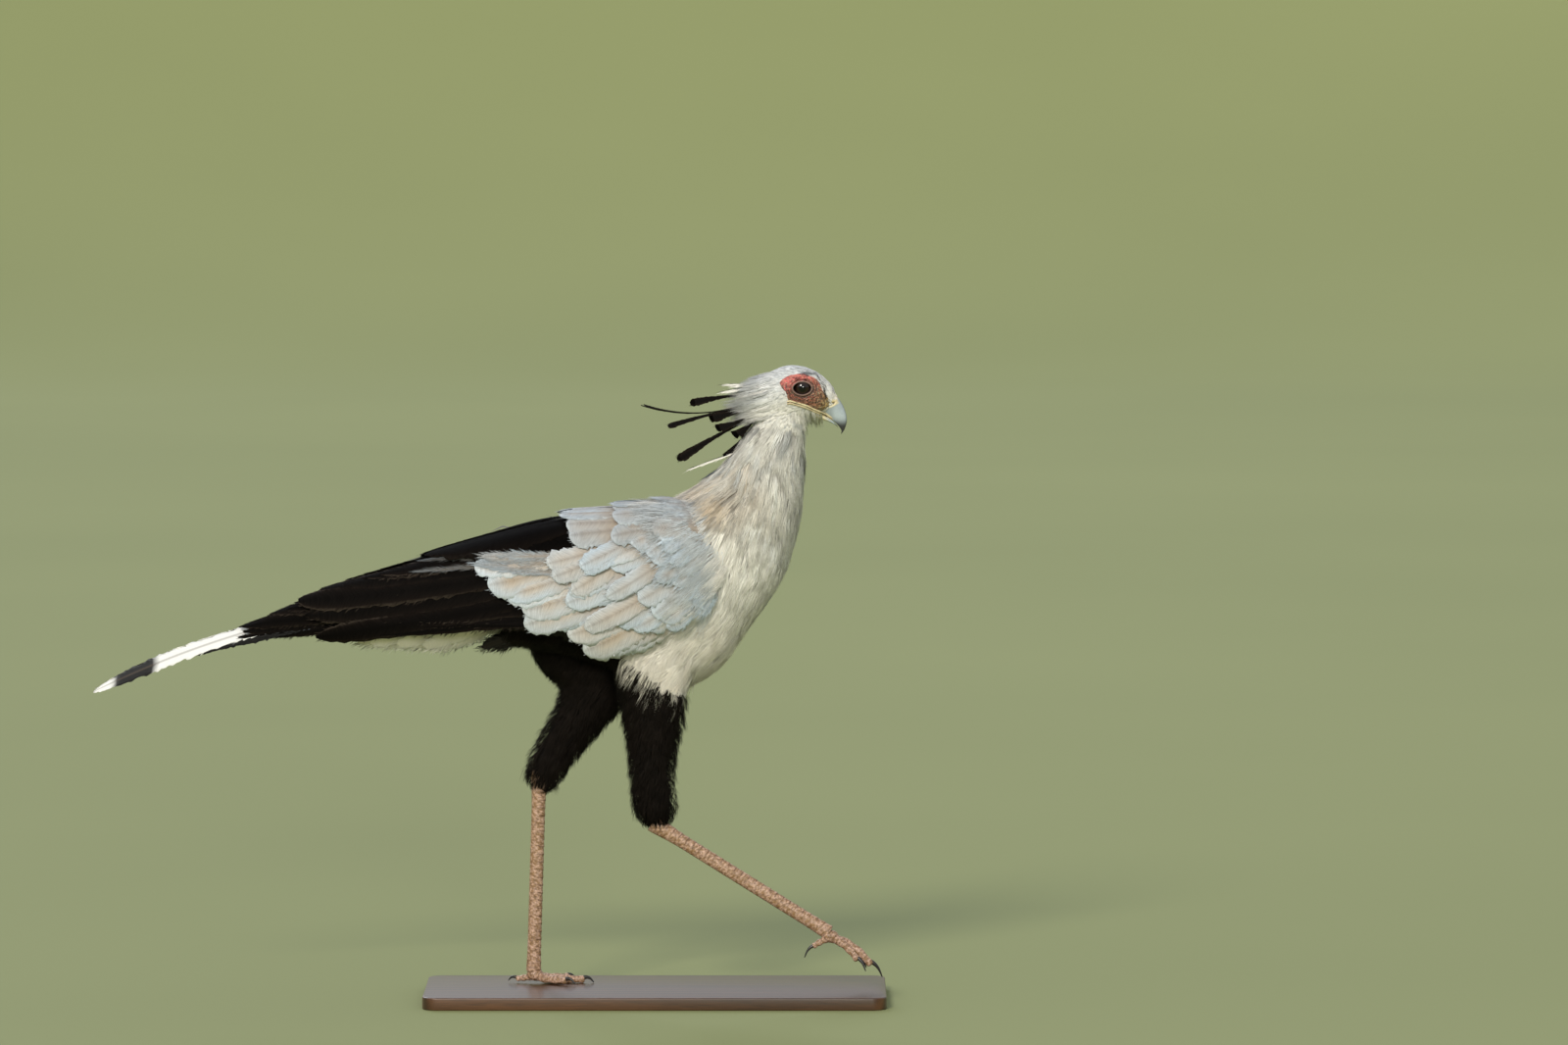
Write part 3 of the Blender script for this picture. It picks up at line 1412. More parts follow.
def wing(side_name, side):
    rng = np.random.default_rng(200 + side)
    flight = []
    for row in FLIGHT_ROWS.values():
        flight += row_feathers(side, row, flight_colour(row["pale"], row.get("light", 1.0)), rng)
    fringe = dict(spacing=1.3, reach=7.0, width=0.7, tip=1.15, inner=0.3, rise=0.3, stray=0.07)
    pieces = feather_set(f"flight_feathers_{side_name}", flight, 40, 9, rng, fringe)
    dress_all(pieces, BLACK_PLUMES, "black_feathers", f"wing_{side_name}")
    coverts, soft_coverts = [], []
    for name, row in COVERT_ROWS.items():
        row = dict(row, curl=COVERT_CURL, camber=0.6)
        shade = covert_colour(row["wear"], row["edge"], row.get("light", 1.0))
        made = soft_coverts if name in SOFT_ROWS else coverts
        made += row_feathers(side, row, shade, rng)
    fringe = dict(spacing=0.55, reach=5.2, width=0.5, tip=1.02, inner=0.1, rise=0.15, stray=0.07, slant=0.34)
    pieces = feather_set(f"wing_coverts_{side_name}", coverts, 28, 9, rng, fringe)
    fringe = dict(spacing=0.45, reach=12, width=0.55, tip=1.02, inner=0.0, rise=0.6, stray=0.1, slant=0.28)
    pieces += feather_set(f"shoulder_coverts_{side_name}", soft_coverts, 20, 7, rng, fringe)
    dress_all(pieces, GREY_PLUMES, "grey_feathers", f"wing_{side_name}")


for side_name, side in SIDES.items():
    wing(side_name, side)


# Tail

TAIL = {
    "root": (-300, 576),
    "tip": (-802, 443),
    "bow": 28,
    "tips": [-802, -684, -664, -640, -612],
    "half": 17,
    "roof": math.radians(34),
    "deck": 2.4,
    "sidestep": 1,
    "midline_gap": 0.4,
}
STREAMER_ROOT = 0.62
BAND = {"start": -712, "end": -772}


def tail_line(x, inner, side):
    (root_x, root_z), (tip_x, tip_z) = TAIL["root"], TAIL["tip"]
    s = (x - root_x) / (tip_x - root_x)
    z = root_z + (tip_z - root_z) * s + TAIL["bow"] * 4 * s * (1 - s)
    return np.stack([x, np.full_like(x, side * inner), z], -1)


def tail_colour(streamer):
    """The long middle pair is white with a black band before its white tip; the rest are darker."""

    def colour(r, b, across, rng):
        tip_x = -802 if streamer else -660
        x = TAIL["root"][0] + (tip_x - TAIL["root"][0]) * r
        if streamer:
            start, end = BAND["start"], BAND["end"]
            band = ramp(-x, -start - 6, -start + 6) * ramp(x, end - 5, end + 5)
            base = mix(COOL_WHITE, WHITE, 0.5 * np.ones_like(r))
            base = mix(base, SLATE, 0.25 * ramp(-r, -0.6, -0.2))
            base = mix(base, BLACK * 1.4, band)
        else:
            base = mix(SLATE, BLACK * 1.3, ramp(r, 0.35, 0.62))
        shaft = np.exp(-((across / 0.9) ** 2))
        return mix(base, SHAFT_BROWN, 0.5 * shaft) * rng.normal(1, 0.05)

    return colour


def tail_feather(side, k, rng):
    outward = np.array([0, side * math.cos(TAIL["roof"]), -math.sin(TAIL["roof"])])
    sidestep = TAIL["deck"] * math.sin(TAIL["roof"]) + TAIL["sidestep"]
    inner = TAIL["half"] * math.cos(TAIL["roof"]) + TAIL["midline_gap"] + k * sidestep
    root_x = TAIL["root"][0]

    def place(s, across, h):
        x = root_x + (TAIL["tips"][k] - root_x) * s
        along = unit(tail_line(x - 1, inner, side) - tail_line(x + 1, inner, side))
        face = unit(np.cross(along, outward))
        face = np.where(face[:, 2:] < 0, -face, face)
        middle = tail_line(x, inner, side)
        return middle + outward * across[:, None] + face * (h - TAIL["deck"] * k)[:, None]

    def half(s):
        narrow = np.minimum(1, STREAMER_ROOT + s / 2) if k == 0 else 1
        return TAIL["half"] * vane_outline(s) * narrow

    return {
        "place": place,
        "length": float(root_x - TAIL["tips"][k]) * 1.03,
        "half": half,
        "colour": tail_colour(k == 0),
        "lean": 1.3,
    }


def free_feather(root, tip, face, half, outline, colour, droop=0.0, **settings):
    """A straight or gently bent vane in space, from a root to a tip."""
    root, tip, face = (np.array(p, float) for p in (root, tip, face))
    along = tip - root
    across_way = unit(np.cross(face, along))
    up = unit(np.cross(along, across_way))

    def place(s, across, h):
        h = np.broadcast_to(h, np.shape(s))
        point = root + along * s[:, None] + across_way * across[:, None] + up * h[:, None]
        point[:, 2] -= droop * 4 * s * (1 - s)
        return point

    return {
        "place": place,
        "length": float(np.linalg.norm(along)),
        "half": lambda s: half * outline(s),
        "colour": colour,
        **settings,
    }


def plain_colour(middle, edge, variation=0.05):
    def colour(r, b, across, rng):
        return mix(middle, edge, ramp(np.abs(b), 0.4, 1.0)) * rng.normal(1, variation)

    return colour


def tail():
    rng = np.random.default_rng(300)
    feathers = []
    for side in SIDES.values():
        feathers += [tail_feather(side, k, rng) for k in range(len(TAIL["tips"]))]
    fringe = dict(spacing=1.4, reach=5.0, width=0.8, inner=0.6, rise=0.2, stray=0.1)
    pieces = feather_set("tail_feathers", feathers, 90, 9, rng, fringe)
    dress_all(pieces, WHITE_PLUMES, "white_feathers", "tail")
    under = []
    for side in SIDES.values():
        for k in range(9):
            share, black = k / 8, k < 2
            ahead = 46 if black else 0
            root = (-190 - 125 * share + ahead, side * (10 + 12 * (k % 2)), 538 - 2 * share)
            tip = (-275 - 150 * share + ahead, side * (16 + 8 * (k % 2) - 6 * share), 506 + 9 * share)
            colour = plain_colour(BROWN_BLACK, BLACK) if black else plain_colour(CREAM, WHITE)
            half = 8 if black else 13
            under.append(free_feather(root, tip, (0, side * 0.8, -0.6), half, vane_outline, colour))
    fringe = dict(spacing=0.7, reach=12.0, width=0.9, inner=0.2, rise=0.6, stray=0.15)
    pieces = feather_set("undertail_coverts", under, 24, 9, rng, fringe)
    dress_all(pieces, WHITE_PLUMES, "white_feathers", "tail")


tail()

# Crest

# Root X and Z, tip X and Z, how far off the middle the root and the tip stand, half width of the
# paddle, the tilt of its flat side in degrees, and its droop
QUILLS = [
    [146, 867, 57, 857, 5, 15, 6.3, 58, -3],
    [146, 859, -16, 853, 2.5, 5, 5.2, 8, 15],
    [147, 852, 19, 822, 5, 13, 5.6, 35, -3],
    [148, 853, 83, 835, 9, 20, 7.2, 66, 1],
    [147, 844, 93, 820, 8, 20, 7, 60, 2],
    [147, 837, 119, 811, 11, 17, 6.8, 68, 2],
    [146, 836, 37, 776, 4, 10, 6.6, 60, -4],
    [143, 826, 104, 781, 3, 4, 4, 50, 2],
]
# Root X and Z, tip X and Z, and how far off the middle the tip stands
NAPE_PLUMES = [
    [158, 884, 114, 879, 9],
    [157, 882, 102, 881, 4],
    [156, 879, 98, 871, 13],
    [155, 876, 118, 874, 2],
    [154, 873, 110, 867, 6],
]
HINDNECK_QUILLS = [[128, 784, 72, 749, 6], [130, 790, 56, 763, 13]]


def crest():
    rng = np.random.default_rng(400)
    dark, pale, hairs = [], [], []
    for side in SIDES.values():
        for rx, rz, tx, tz, near, spread, half, tilt, droop in QUILLS:
            shift = -9 + 8 * rng.random() if side > 0 else 0
            angle = math.radians(tilt)
            root = (rx, side * near, rz)
            tip = (tx + shift, side * spread, tz + 0.4 * shift)
            face = (0, side * math.sin(angle), math.cos(angle))
            colour = plain_colour(BLACK * 1.2, BROWN_BLACK)
            dark.append(
                free_feather(root, tip, face, half, quill_outline, colour, droop, camber=0.8, shaft=0.8)
            )
        for rx, rz, tx, tz, spread in NAPE_PLUMES:
            root, tip = (rx, side * 6, rz), (tx, side * spread, tz)
            colour = plain_colour(WHITE, WHITE)
            pale.append(free_feather(root, tip, (0, side, 1), 0.8, vane_outline, colour))
        for (rx, rz, tx, tz, spread), tone in zip(HINDNECK_QUILLS, (SLATE * 0.25, WHITE)):
            root, tip = (rx, side * 4, rz), (tx, side * spread, tz)
            colour = plain_colour(tone, tone)
            hairs.append(free_feather(root, tip, (0, side, 1), 0.6, vane_outline, colour))
    fringe = dict(spacing=0.5, reach=3.4, width=0.35, tip=1.2, inner=0.7, rise=0.1, stray=0.08, slant=0.3)
    pieces = feather_set("crest_quills", dark, 40, 7, rng, fringe)
    dress_all(pieces, BLACK_PLUMES, "black_feathers", "head")
    fringe = dict(spacing=0.8, reach=12, width=0.4, inner=0.0, rise=0.1, stray=0.07, slant=0.2)
    pieces = feather_set("nape_plumes", pale, 24, 7, rng, fringe)
    fringe = dict(spacing=1.6, reach=17, width=0.4, inner=0.0, rise=0.1, stray=0.05, slant=0.12)
    pieces += feather_set("hindneck_quills", hairs, 24, 5, rng, fringe)
    dress_all(pieces, WHITE_PLUMES, "white_feathers", "head")


crest()

# Face

PINK_RED = linear("#dd5f5e")
BRICK = linear("#bd5d4c")
LORE_BROWN = linear("#be8a68")
MAROON = linear("#4a221d")
YELLOW = linear("#c9a768")
SPECKLE = linear("#35201a")
LID_GREY = linear("#9a7d72")
CREAM_HORN = linear("#e3d5ab")
BLUE_HORN = linear("#a4aeb3")
DARK_HORN = linear("#2b2a2c")

head_form = join(
    [
        ball_piece("head_form", 60, 64, loft_place(HEAD)),
        ball_piece("bill_form", 60, 64, loft_place(UPPER_BILL, dome=0.1)),
    ],
    "head_form",
)
head_surface = surface_of(head_form)
bpy.data.objects.remove(head_form, do_unlink=True)


def head_y(x, z):
    """How far out the side of the head lies at places in the side view."""
    out = np.empty(len(x))
    for n, (px, pz) in enumerate(zip(x, z)):
        hit = head_surface.ray_cast(Vector((px, 60.0, pz)), Vector((0.0, -1.0, 0.0)))[0]
        out[n] = hit[1] if hit is not None else 0.0
    return out


def eyeball_y(dx, dz):
    return EYE["y"] + np.sqrt(np.maximum(EYE["radius"] ** 2 - dx**2 - dz**2, 1))


def fractal(places, frequency):
    """Soft noise at places in millimetres, about -1 to 1."""
    return np.array([noise.fractal(Vector(p * frequency), 1.0, 2.0, 3) for p in places])


def face_colour(dx, dz, out, hollow, rng):
    """Pink-red over the eye, brick red round it, orange and dark-speckled towards the bill."""
    upper = ramp(dz - 0.5 * dx, 2, 10)
    colour = mix(BRICK, PINK_RED, upper)
    colour = mix(colour, LORE_BROWN, 0.9 * ramp(dx, 6, 24) * ramp(-dz, -4, 10))
    colour = mix(colour, LORE_BROWN, 0.35 * ramp(-dz, 10, 20))
    colour = mix(colour, YELLOW * 0.9, 0.85 * ramp(dx - 0.4 * dz, 30, 43))
    ring = np.exp(-(((out - 4.2) / 1.7) ** 2)) * (1 - 0.75 * upper)
    colour = mix(colour, MAROON, 0.8 * ring)
    blotch = fractal(np.stack([dx, dz, 0 * dx], -1), 0.42)
    dark = 0.85 * ramp(blotch, 0.0, 0.2) * (0.45 + 0.55 * ramp(-dz, -10, 0))
    colour = mix(colour, SPECKLE, dark)
    chance = 0.06 + 0.26 * ramp(-dz, -4, 8)
    colour = mix(colour, CREAM_HORN, 0.6 * (rng.random(len(dx)) < 0.2))
    speckle = rng.random(len(dx)) < chance
    colour = mix(colour, SPECKLE, np.clip(0.75 * hollow + 0.6 * speckle, 0, 0.92))
    lid = ramp(-out, -3.2, -2.0)
    return mix(colour, mix(SPECKLE, LID_GREY, ramp(out, 0.3, 0.9)), lid)


def face(side_name, side):
    rng = np.random.default_rng(500)
    spokes, ring_count = 132, 52
    angle = np.linspace(-math.pi, math.pi, spokes, endpoint=False)
    share = np.linspace(0, 1, ring_count) ** 1.25
    angle, share = (g.ravel() for g in np.meshgrid(angle, share))
    length, height = LID["half_length"], LID["half_height"]
    corner = 1 + 0.1 * np.abs(np.cos(angle)) ** 6
    lid = corner / np.hypot(np.cos(angle) / length, np.sin(angle) / height)
    out = share * (bare_reach(angle) + 1.5 - lid)
    dx, dz = (lid + out) * np.cos(angle), (lid + out) * np.sin(angle)
    x, z = EYE["x"] + dx, EYE["z"] + dz
    under = head_y(x, z)
    rim = 2.4 * np.exp(-(((out - 1.5) / 1.2) ** 2))
    groove = -1.0 * np.exp(-(((out - 3.9) / 0.9) ** 2))
    lumps = fractal(np.stack([x, z, out], -1), 0.16)
    pebbles = fractal(np.stack([x, z, 2 * out], -1), 0.75)
    folds = np.sin(2 * math.pi * (out + 4.5 * lumps) / 4.4) * ramp(out, 3.5, 6)
    calm = 1 - 0.55 * ramp(dz, 6, 12)
    rings = np.sin(2 * math.pi * (out + 1.6 * lumps) / 2.9) * np.exp(-(((out - 6) / 3.5) ** 2))
    relief = (0.5 * folds * (0.6 + lumps) + 0.5 * rings + 0.6 * pebbles * ramp(out, 2, 5)) * calm
    surface = under + 0.2 + rim + groove + relief
    surface -= 2.2 * ramp(share, 0.9, 1.0)
    ball = eyeball_y(dx, dz) + 0.25
    y = np.where(out < 2.5, ball + (np.maximum(surface, ball) - ball) * ramp(out, 0, 1.3), surface)
    hollow = np.clip(1.0 * ramp(-relief, 0.0, 0.3) + 0.8 * ramp(-groove, 0.3, 1), 0, 1)
    points = np.stack([x, side * y, z], -1)
    index = np.arange(len(x)).reshape(ring_count, spokes)
    a, b = index[:-1].ravel(), index[1:].ravel()
    c, d = np.roll(index[1:], -1, 1).ravel(), np.roll(index[:-1], -1, 1).ravel()
    quads = np.stack([a, b, c, d] if side > 0 else [d, c, b, a], -1)
    piece = mesh_piece(f"face_skin_{side_name}", points, quads[:, ::-1])
    set_colour(piece.data, face_colour(dx, dz, out, hollow, rng))
    apply_modifier(piece, "SOLIDIFY", thickness=1.2 * MM, offset=-1.0)
    dress(piece, FACE_SKIN, "face_skin", "head")


def eye(side_name, side):
    name = f"eyeball_{side_name}"
    middle = np.array([EYE["x"], side * EYE["y"], EYE["z"]])

    def place(v, u):
        polar, turn = math.pi * v, 2 * math.pi * u
        out = EYE["radius"] * np.stack(
            [np.sin(polar) * np.cos(turn), side * np.cos(polar), np.sin(polar) * np.sin(turn)], -1
        )
        return middle + out

    piece = ball_piece(name, 48, 64, place)
    points = points_of(piece.data)
    away = np.hypot(points[:, 0] - EYE["x"], points[:, 2] - EYE["z"])
    pupil, iris, white = linear("#030202"), linear("#22140c"), linear("#120a07")
    colour = mix(pupil, iris, ramp(away, 4.6, 5.4))
    colour = mix(colour, iris * 0.35, ramp(away, 8.2, 9.4))
    colour = mix(colour, white, ramp(away, 10.2, 11.2))
    set_colour(piece.data, colour)
    dress(piece, EYE_GLASS, "eye", f"eye_{side_name}")


def facing_out(side, points, lift):
    """Places in the side view carried on to the side of the head, lift out from it."""
    y = head_y(points[:, 0], points[:, 1]) + lift
    return np.stack([points[:, 0], side * y, points[:, 1]], -1)


def bristles(side_name, side):
    """Lashes over the eye, black streaks above it and down the edge of the lore."""
    rng = np.random.default_rng(600)
    groups = []

    def add(start, end, count, length, way, lift, width, colour, stray=0.8):
        share = rng.random(count)[:, None]
        at = np.array(start) * (1 - share) + np.array(end) * share + rng.normal(0, stray, (count, 2))
        way = np.array(way, float) / np.hypot(*way)
        reach = (length * rng.uniform(0.6, 1.2, count))[:, None]
        turn = way + rng.normal(0, 0.12, (count, 2))
        root = facing_out(side, at, 0.2)
        middle = facing_out(side, at + turn * reach * 0.5, lift * 0.8)
        tip = facing_out(side, at + turn * reach, lift)
        groups.append(
            {
                "path": (root, middle, tip),
                "sideways": unit(np.cross(tip - root, np.array([0.0, side, 0.1]))),
                "width": np.full(count, width),
                "thick": np.full(count, width * 0.4),
                "length": reach[:, 0],
                "shift": rng.random(count),
                "root_colour": np.tile(colour, (count, 1)),
                "tip_colour": np.tile(colour, (count, 1)),
                "bake": rng.random((count, 2)) * 0.9 + 0.05,
            }
        )

    x, z = EYE["x"], EYE["z"]
    add((x - 10, z + 12), (x + 10, z + 11), 22, 6, (-0.9, 0.35), 3.5, 0.35, BLACK)
    add((x + 6, z + 20), (x + 22, z + 19), 26, 14, (-1, 0.3), 2.0, 0.3, SLATE * 0.4, 1.6)
    add((x + 22, z + 17), (x + 34, z + 2), 24, 10, (-0.6, 0.6), 2.2, 0.3, SLATE * 0.4, 1.4)
    add((x + 30, z + 4), (x + 33, z - 12), 22, 7, (0.3, -0.8), 2.0, 0.45, BROWN_BLACK)
    add((x - 22, z - 6), (x - 12, z - 16), 40, 2.6, (-1, -0.5), 1.0, 0.35, BROWN_BLACK, 3)
    add((x - 6, z - 17), (x + 26, z - 20), 90, 2.6, (0.3, -1), 1.0, 0.35, BROWN_BLACK, 3)
    add((x + 18, z + 2), (x + 26, z - 12), 40, 2.6, (0.6, -0.6), 1.0, 0.35, BROWN_BLACK, 3)
    piece = strand_piece(f"face_bristles_{side_name}", groups)
    dress(piece, DARK_DOWN, "black_feathers", "head")


for side_name, side in SIDES.items():
    face(side_name, side)
    eye(side_name, side)
    bristles(side_name, side)

# Bill

NOSTRIL = {"x": 252, "z": 854.6, "length": 5.4, "height": 1.7, "lean": math.radians(-25), "depth": 1.8}
# X and Z of the upper bill's cutting edge
MOUTH_LINE = [
    [192, 855],
    [203, 854],
    [213, 852.6],
    [223, 849],
    [232, 844.5],
    [244, 838],
    [257, 828],
    [262, 818],
]


def upper_bill():
    piece = ball_piece("upper_bill", 110, 72, loft_place(UPPER_BILL, dome=0.1))
    points = points_of(piece.data)
    dx, dz = points[:, 0] - NOSTRIL["x"], points[:, 2] - NOSTRIL["z"]
    cos, sin = math.cos(NOSTRIL["lean"]), math.sin(NOSTRIL["lean"])
    long = (dx * cos - dz * sin) / NOSTRIL["length"]
    short = (dx * sin + dz * cos) / NOSTRIL["height"]
    pit = np.exp(-((long**2 + short**2) ** 2))
    rim = np.exp(-(((np.hypot(long * 0.8, short * 0.5) - 1.05) / 0.3) ** 2))
    outer = np.abs(points[:, 1]) > 3
    points[:, 1] -= np.sign(points[:, 1]) * outer * (NOSTRIL["depth"] * pit - 0.4 * rim)
    piece.data.vertices.foreach_set("co", (points * MM).astype(np.float32).ravel())
    edge = np.interp(points[:, 0], [m[0] for m in MOUTH_LINE], [m[1] for m in MOUTH_LINE])
    above = points[:, 2] - edge
    colour = mix(BLUE_HORN, DARK_HORN, ramp(-points[:, 2], -838, -822))
    colour = mix(colour, BLUE_HORN * 1.35, 0.7 * np.exp(-(((points[:, 2] - 838) / 9) ** 2)))
    ridge = np.exp(-((points[:, 1] / 2.6) ** 2)) * ramp(points[:, 0], 256, 264)
    colour = mix(colour, DARK_HORN * 2, 0.75 * ridge)
    over_cere = points[:, 2] - 848.3 - 0.41 * (points[:, 0] - 243)
    cere = ramp(over_cere, -0.8, 0.8) * ramp(-points[:, 0], -263, -258)
    colour = mix(colour, BLUE_HORN * 0.75, 0.6 * ramp(-over_cere, 1, 3) * ramp(-points[:, 0], -258, -250))
    colour = mix(colour, mix(YELLOW, CREAM_HORN, 0.5 * ramp(points[:, 0], 246, 254)), cere)
    cere_rim = np.exp(-((over_cere / 1.1) ** 2)) * ramp(-points[:, 0], -264, -260)
    colour = mix(colour, CREAM_HORN, 0.9 * cere_rim)
    colour = mix(colour, CREAM_HORN, 0.9 * ramp(-above, -5, -2.5) * ramp(-points[:, 0], -256, -250))
    colour = mix(colour, CREAM_HORN, 0.7 * rim * outer * (1 - pit))
    colour = mix(colour, BLACK * 0.5, (pit * outer).clip(0, 1))
    set_colour(piece.data, colour)
    dress(piece, HORN, "bill", "bill_upper")


def lower_bill():
    piece = ball_piece("lower_bill", 80, 56, loft_place(LOWER_BILL, dome=0.1))
    points = points_of(piece.data)
    colour = mix(CREAM_HORN, BLUE_HORN * 1.2, ramp(points[:, 0], 238, 252))
    colour = mix(colour, DARK_HORN, ramp(points[:, 0], 254, 261))
    set_colour(piece.data, colour)
    dress(piece, HORN, "bill", "bill_lower")


# X and Z of the mouth's line, from its corner forward
MOUTH = [
    [189, 857.6],
    [192.5, 858.6],
    [199, 857],
    [208, 854.4],
    [218, 850.8],
    [226, 846.8],
    [235, 842.6],
    [244, 838.2],
    [252, 833],
]
# How far over the line each part of the mouth's corner lies, its radius and its colour
LIPS = ((1.3, 1.35, CREAM_HORN), (0, 0.8, BLACK), (-1.9, 1.5, CREAM_HORN * 0.8))


def lips(side_name, side):
    """The pale rims of the mouth's corner, with the dark slit between them."""
    parts = []
    line = np.array(MOUTH, float)
    for rise, radius, colour in LIPS:
        own = facing_out(side, line + [0, rise], 0.1 - 0.35 * radius)

        def width(t, radius=radius):
            uneven = 1 + 0.12 * np.sin(23 * t + 3 * radius) + 0.08 * np.sin(61 * t)
            return radius * uneven * (1 - 0.35 * ramp(t, 0.6, 1.0))

        part = ball_piece("lip_part", 60, 16, limb_place(own, width, lambda t: 0 * t))
        blotch = 0.25 * ramp(fractal(points_of(part.data), 0.4), -0.2, 0.5)
        set_colour(part.data, mix(colour, BRICK * 0.8, blotch * (radius > 1)))
        parts.append(part)
    piece = join(parts, f"lips_{side_name}")
    dress(piece, HORN, "bill", "head")


upper_bill()
lower_bill()

# The feathers that run up from the bill's root over the forehead and the lore


def lore_feathers():
    rng = np.random.default_rng(650)
    form = ball_piece("lore_form", 60, 48, loft_place(UPPER_BILL, 0.6, dome=0.1))
    points, normals = points_of(form.data), normals_of(form.data)
    faces = np.array([list(f.vertices) for f in form.data.polygons if len(f.vertices) == 4])
    bpy.data.objects.remove(form, do_unlink=True)
    triangles = np.concatenate([faces[:, [0, 1, 2]], faces[:, [0, 2, 3]]])
    middles = points[triangles].mean(1)
    covered = (middles[:, 2] > 876 - 0.85 * (middles[:, 0] - 237)) & (middles[:, 0] < 261)
    roots, normals = sample_roots(points, normals, triangles[covered], 1.8, rng)
    way = lie_at(roots, normals, rng, 0.15)
    sideways = unit(np.cross(normals, way))
    bake = unwrap(UPPER_BILL, roots)
    groups = []
    for fan in (-1, 0, 1):
        count = len(roots)
        length = rng.uniform(6, 11, count)[:, None]
        turned = unit(way + sideways * (0.2 * fan + rng.normal(0, 0.1, count))[:, None])
        path = [
            roots - normals * 0.5,
            roots + turned * length * 0.5 + normals * 0.9,
            roots + turned * length + normals * rng.uniform(0.8, 2.2, count)[:, None],
        ]
        shade = rng.normal(1, 0.06, count)[:, None]
        colours = mix(WHITE, CREAM, rng.random(count) * 0.6) * shade
        groups.append(
            {
                "path": path,
                "sideways": sideways,
                "width": rng.uniform(0.5, 0.8, count),
                "thick": np.full(count, 0.2),
                "length": length[:, 0],
                "shift": rng.random(count),
                "root_colour": (colours * 0.85).clip(0, 1),
                "tip_colour": colours.clip(0, 1),
                "bake": bake,
                "shading": [normals] * 3,
            }
        )
    piece = strand_piece("lore_feathers", groups)
    dress(piece, WHITE_PLUMES, "white_feathers", "head")


for side_name, side in SIDES.items():
    lips(side_name, side)
lore_feathers()

# Legs

LEGS = {
    "left": {"side": 1, "hock": (-167, 326), "ankle": (-176, 36), "dips": (-10, -3, -1)},
    "right": {"side": -1, "hock": (-4, 258), "ankle": (248, 100), "dips": (-20, -34, -46)},
}
TARSUS = {"hock": 12.5, "shaft": 9.6, "ankle": 10.5, "flat": 0.82, "scutes": 26, "rise": 0.9}
# Turn from straight ahead in degrees, length, radius and claw of each toe
TOES = {
    "middle": (2, 68, 7.2, 25),
    "inner": (-30, 50, 6.8, 24),
    "outer": (31, 52, 6.4, 21),
    "hind": (168, 27, 5.4, 19),
}
TOE = {"scute": 4.6, "rise": 0.8, "taper": 0.3, "joints": 3, "joint_rise": 0.5, "hind_pitch": -8}
BALL = {"radius": 11.5, "stretch": (1.05, 0.95, 0.8), "forward": 2, "drop": 5}
CLAW = {"arch": 0.16, "hook": 0.17, "hang": 0.75, "thick": 0.56, "tip": 0.25}
LEG_PINK = linear("#c9a590")
LEG_TAN = linear("#93714f")
LEG_BROWN = linear("#5f4030")


def leg_y(leg):
    return leg["side"] * (LEG_OFFSET - 2)


def leg_colour(points, hollow, rng):
    """Flesh pink, browner on the plates' faces, dark in the joints between them."""
    patch = ramp(fractal(points, 0.28), -0.35, 0.35)
    colour = mix(LEG_PINK, LEG_TAN, patch)
    fleck = 0.55 * ramp(fractal(points, 0.6), 0.1, 0.5) + (rng.random(len(points)) < 0.08) * 0.4
    return mix(colour, LEG_BROWN, np.clip(0.7 * hollow + fleck, 0, 1))


def shank(side_name, leg):
    rng = np.random.default_rng(700)
    top = np.array([leg["hock"][0], leg_y(leg), leg["hock"][1]], float)
    bottom = np.array([leg["ankle"][0], leg_y(leg), leg["ankle"][1]], float)
    axis = bottom - top
    front = unit(np.array([-axis[2], 0, axis[0]]))

    def plates(t, angle):
        facing = ramp(np.cos(angle), 0.1, 0.6)
        phase = (t * TARSUS["scutes"] + 0.12 * np.abs(np.sin(angle))) % 1.0
        lip = phase**2 * (1 - ramp(phase, 0.86, 1.0))
        return facing, lip, ramp(phase, 0.8, 0.93) * (1 - ramp(phase, 0.95, 1.0))

    def place(v, u):
        t = np.clip((v - 0.01) / 0.98, 0, 1)
        angle = 2 * math.pi * u
        knee = np.exp(-((t / 0.1) ** 2)) * (TARSUS["hock"] - TARSUS["shaft"])
        foot = np.exp(-(((1 - t) / 0.07) ** 2)) * (TARSUS["ankle"] - TARSUS["shaft"])
        facing, lip, _ = plates(t, angle)
        knobs = 0.35 * np.sin(t * 330 + 6 * u) * np.sin(angle * 7) * (1 - facing)
        radius = TARSUS["shaft"] + knee + foot + knobs
        radius = radius * np.sqrt(np.clip(np.minimum(v, 1 - v) / 0.01, 0, 1))
        rise = TARSUS["rise"] * lip * facing
        out = top + axis * t[:, None] + front * ((radius + rise) * np.cos(angle))[:, None]
        out[:, 1] += radius * TARSUS["flat"] * np.sin(angle)
        return out

    piece = ball_piece(f"shank_{side_name}", 300, 28, place)
    points = points_of(piece.data)
    t = ((points - top) @ axis) / (axis @ axis)
    away = points - top - axis * t[:, None]
    angle = np.arctan2(away[:, 1], away @ front)
    facing, _, seam = plates(t, angle)
    set_colour(piece.data, leg_colour(points, seam * facing, rng))
    dress(piece, LEG_SKIN, "leg_scales", f"tarsus_{side_name}")


def toe_line(leg, size):
    """Points along a toe's middle, from the ball of the foot out to its tip."""
    turn_degrees, length = size[0], size[1]
    turn = math.radians(turn_degrees) * leg["side"]
    point = np.array([leg["ankle"][0] + 3, leg_y(leg), leg["ankle"][1] - 7], float)
    points = [point]
    for dip in leg["dips"]:
        backward = abs(turn_degrees) > 90
        pitch = math.radians(dip / 2 + TOE["hind_pitch"] if backward else dip)
        way = [math.cos(pitch) * math.cos(turn), math.cos(pitch) * math.sin(turn), math.sin(pitch)]
        point = point + np.array(way) * length / len(leg["dips"])
        points.append(point)
    return np.array(points)


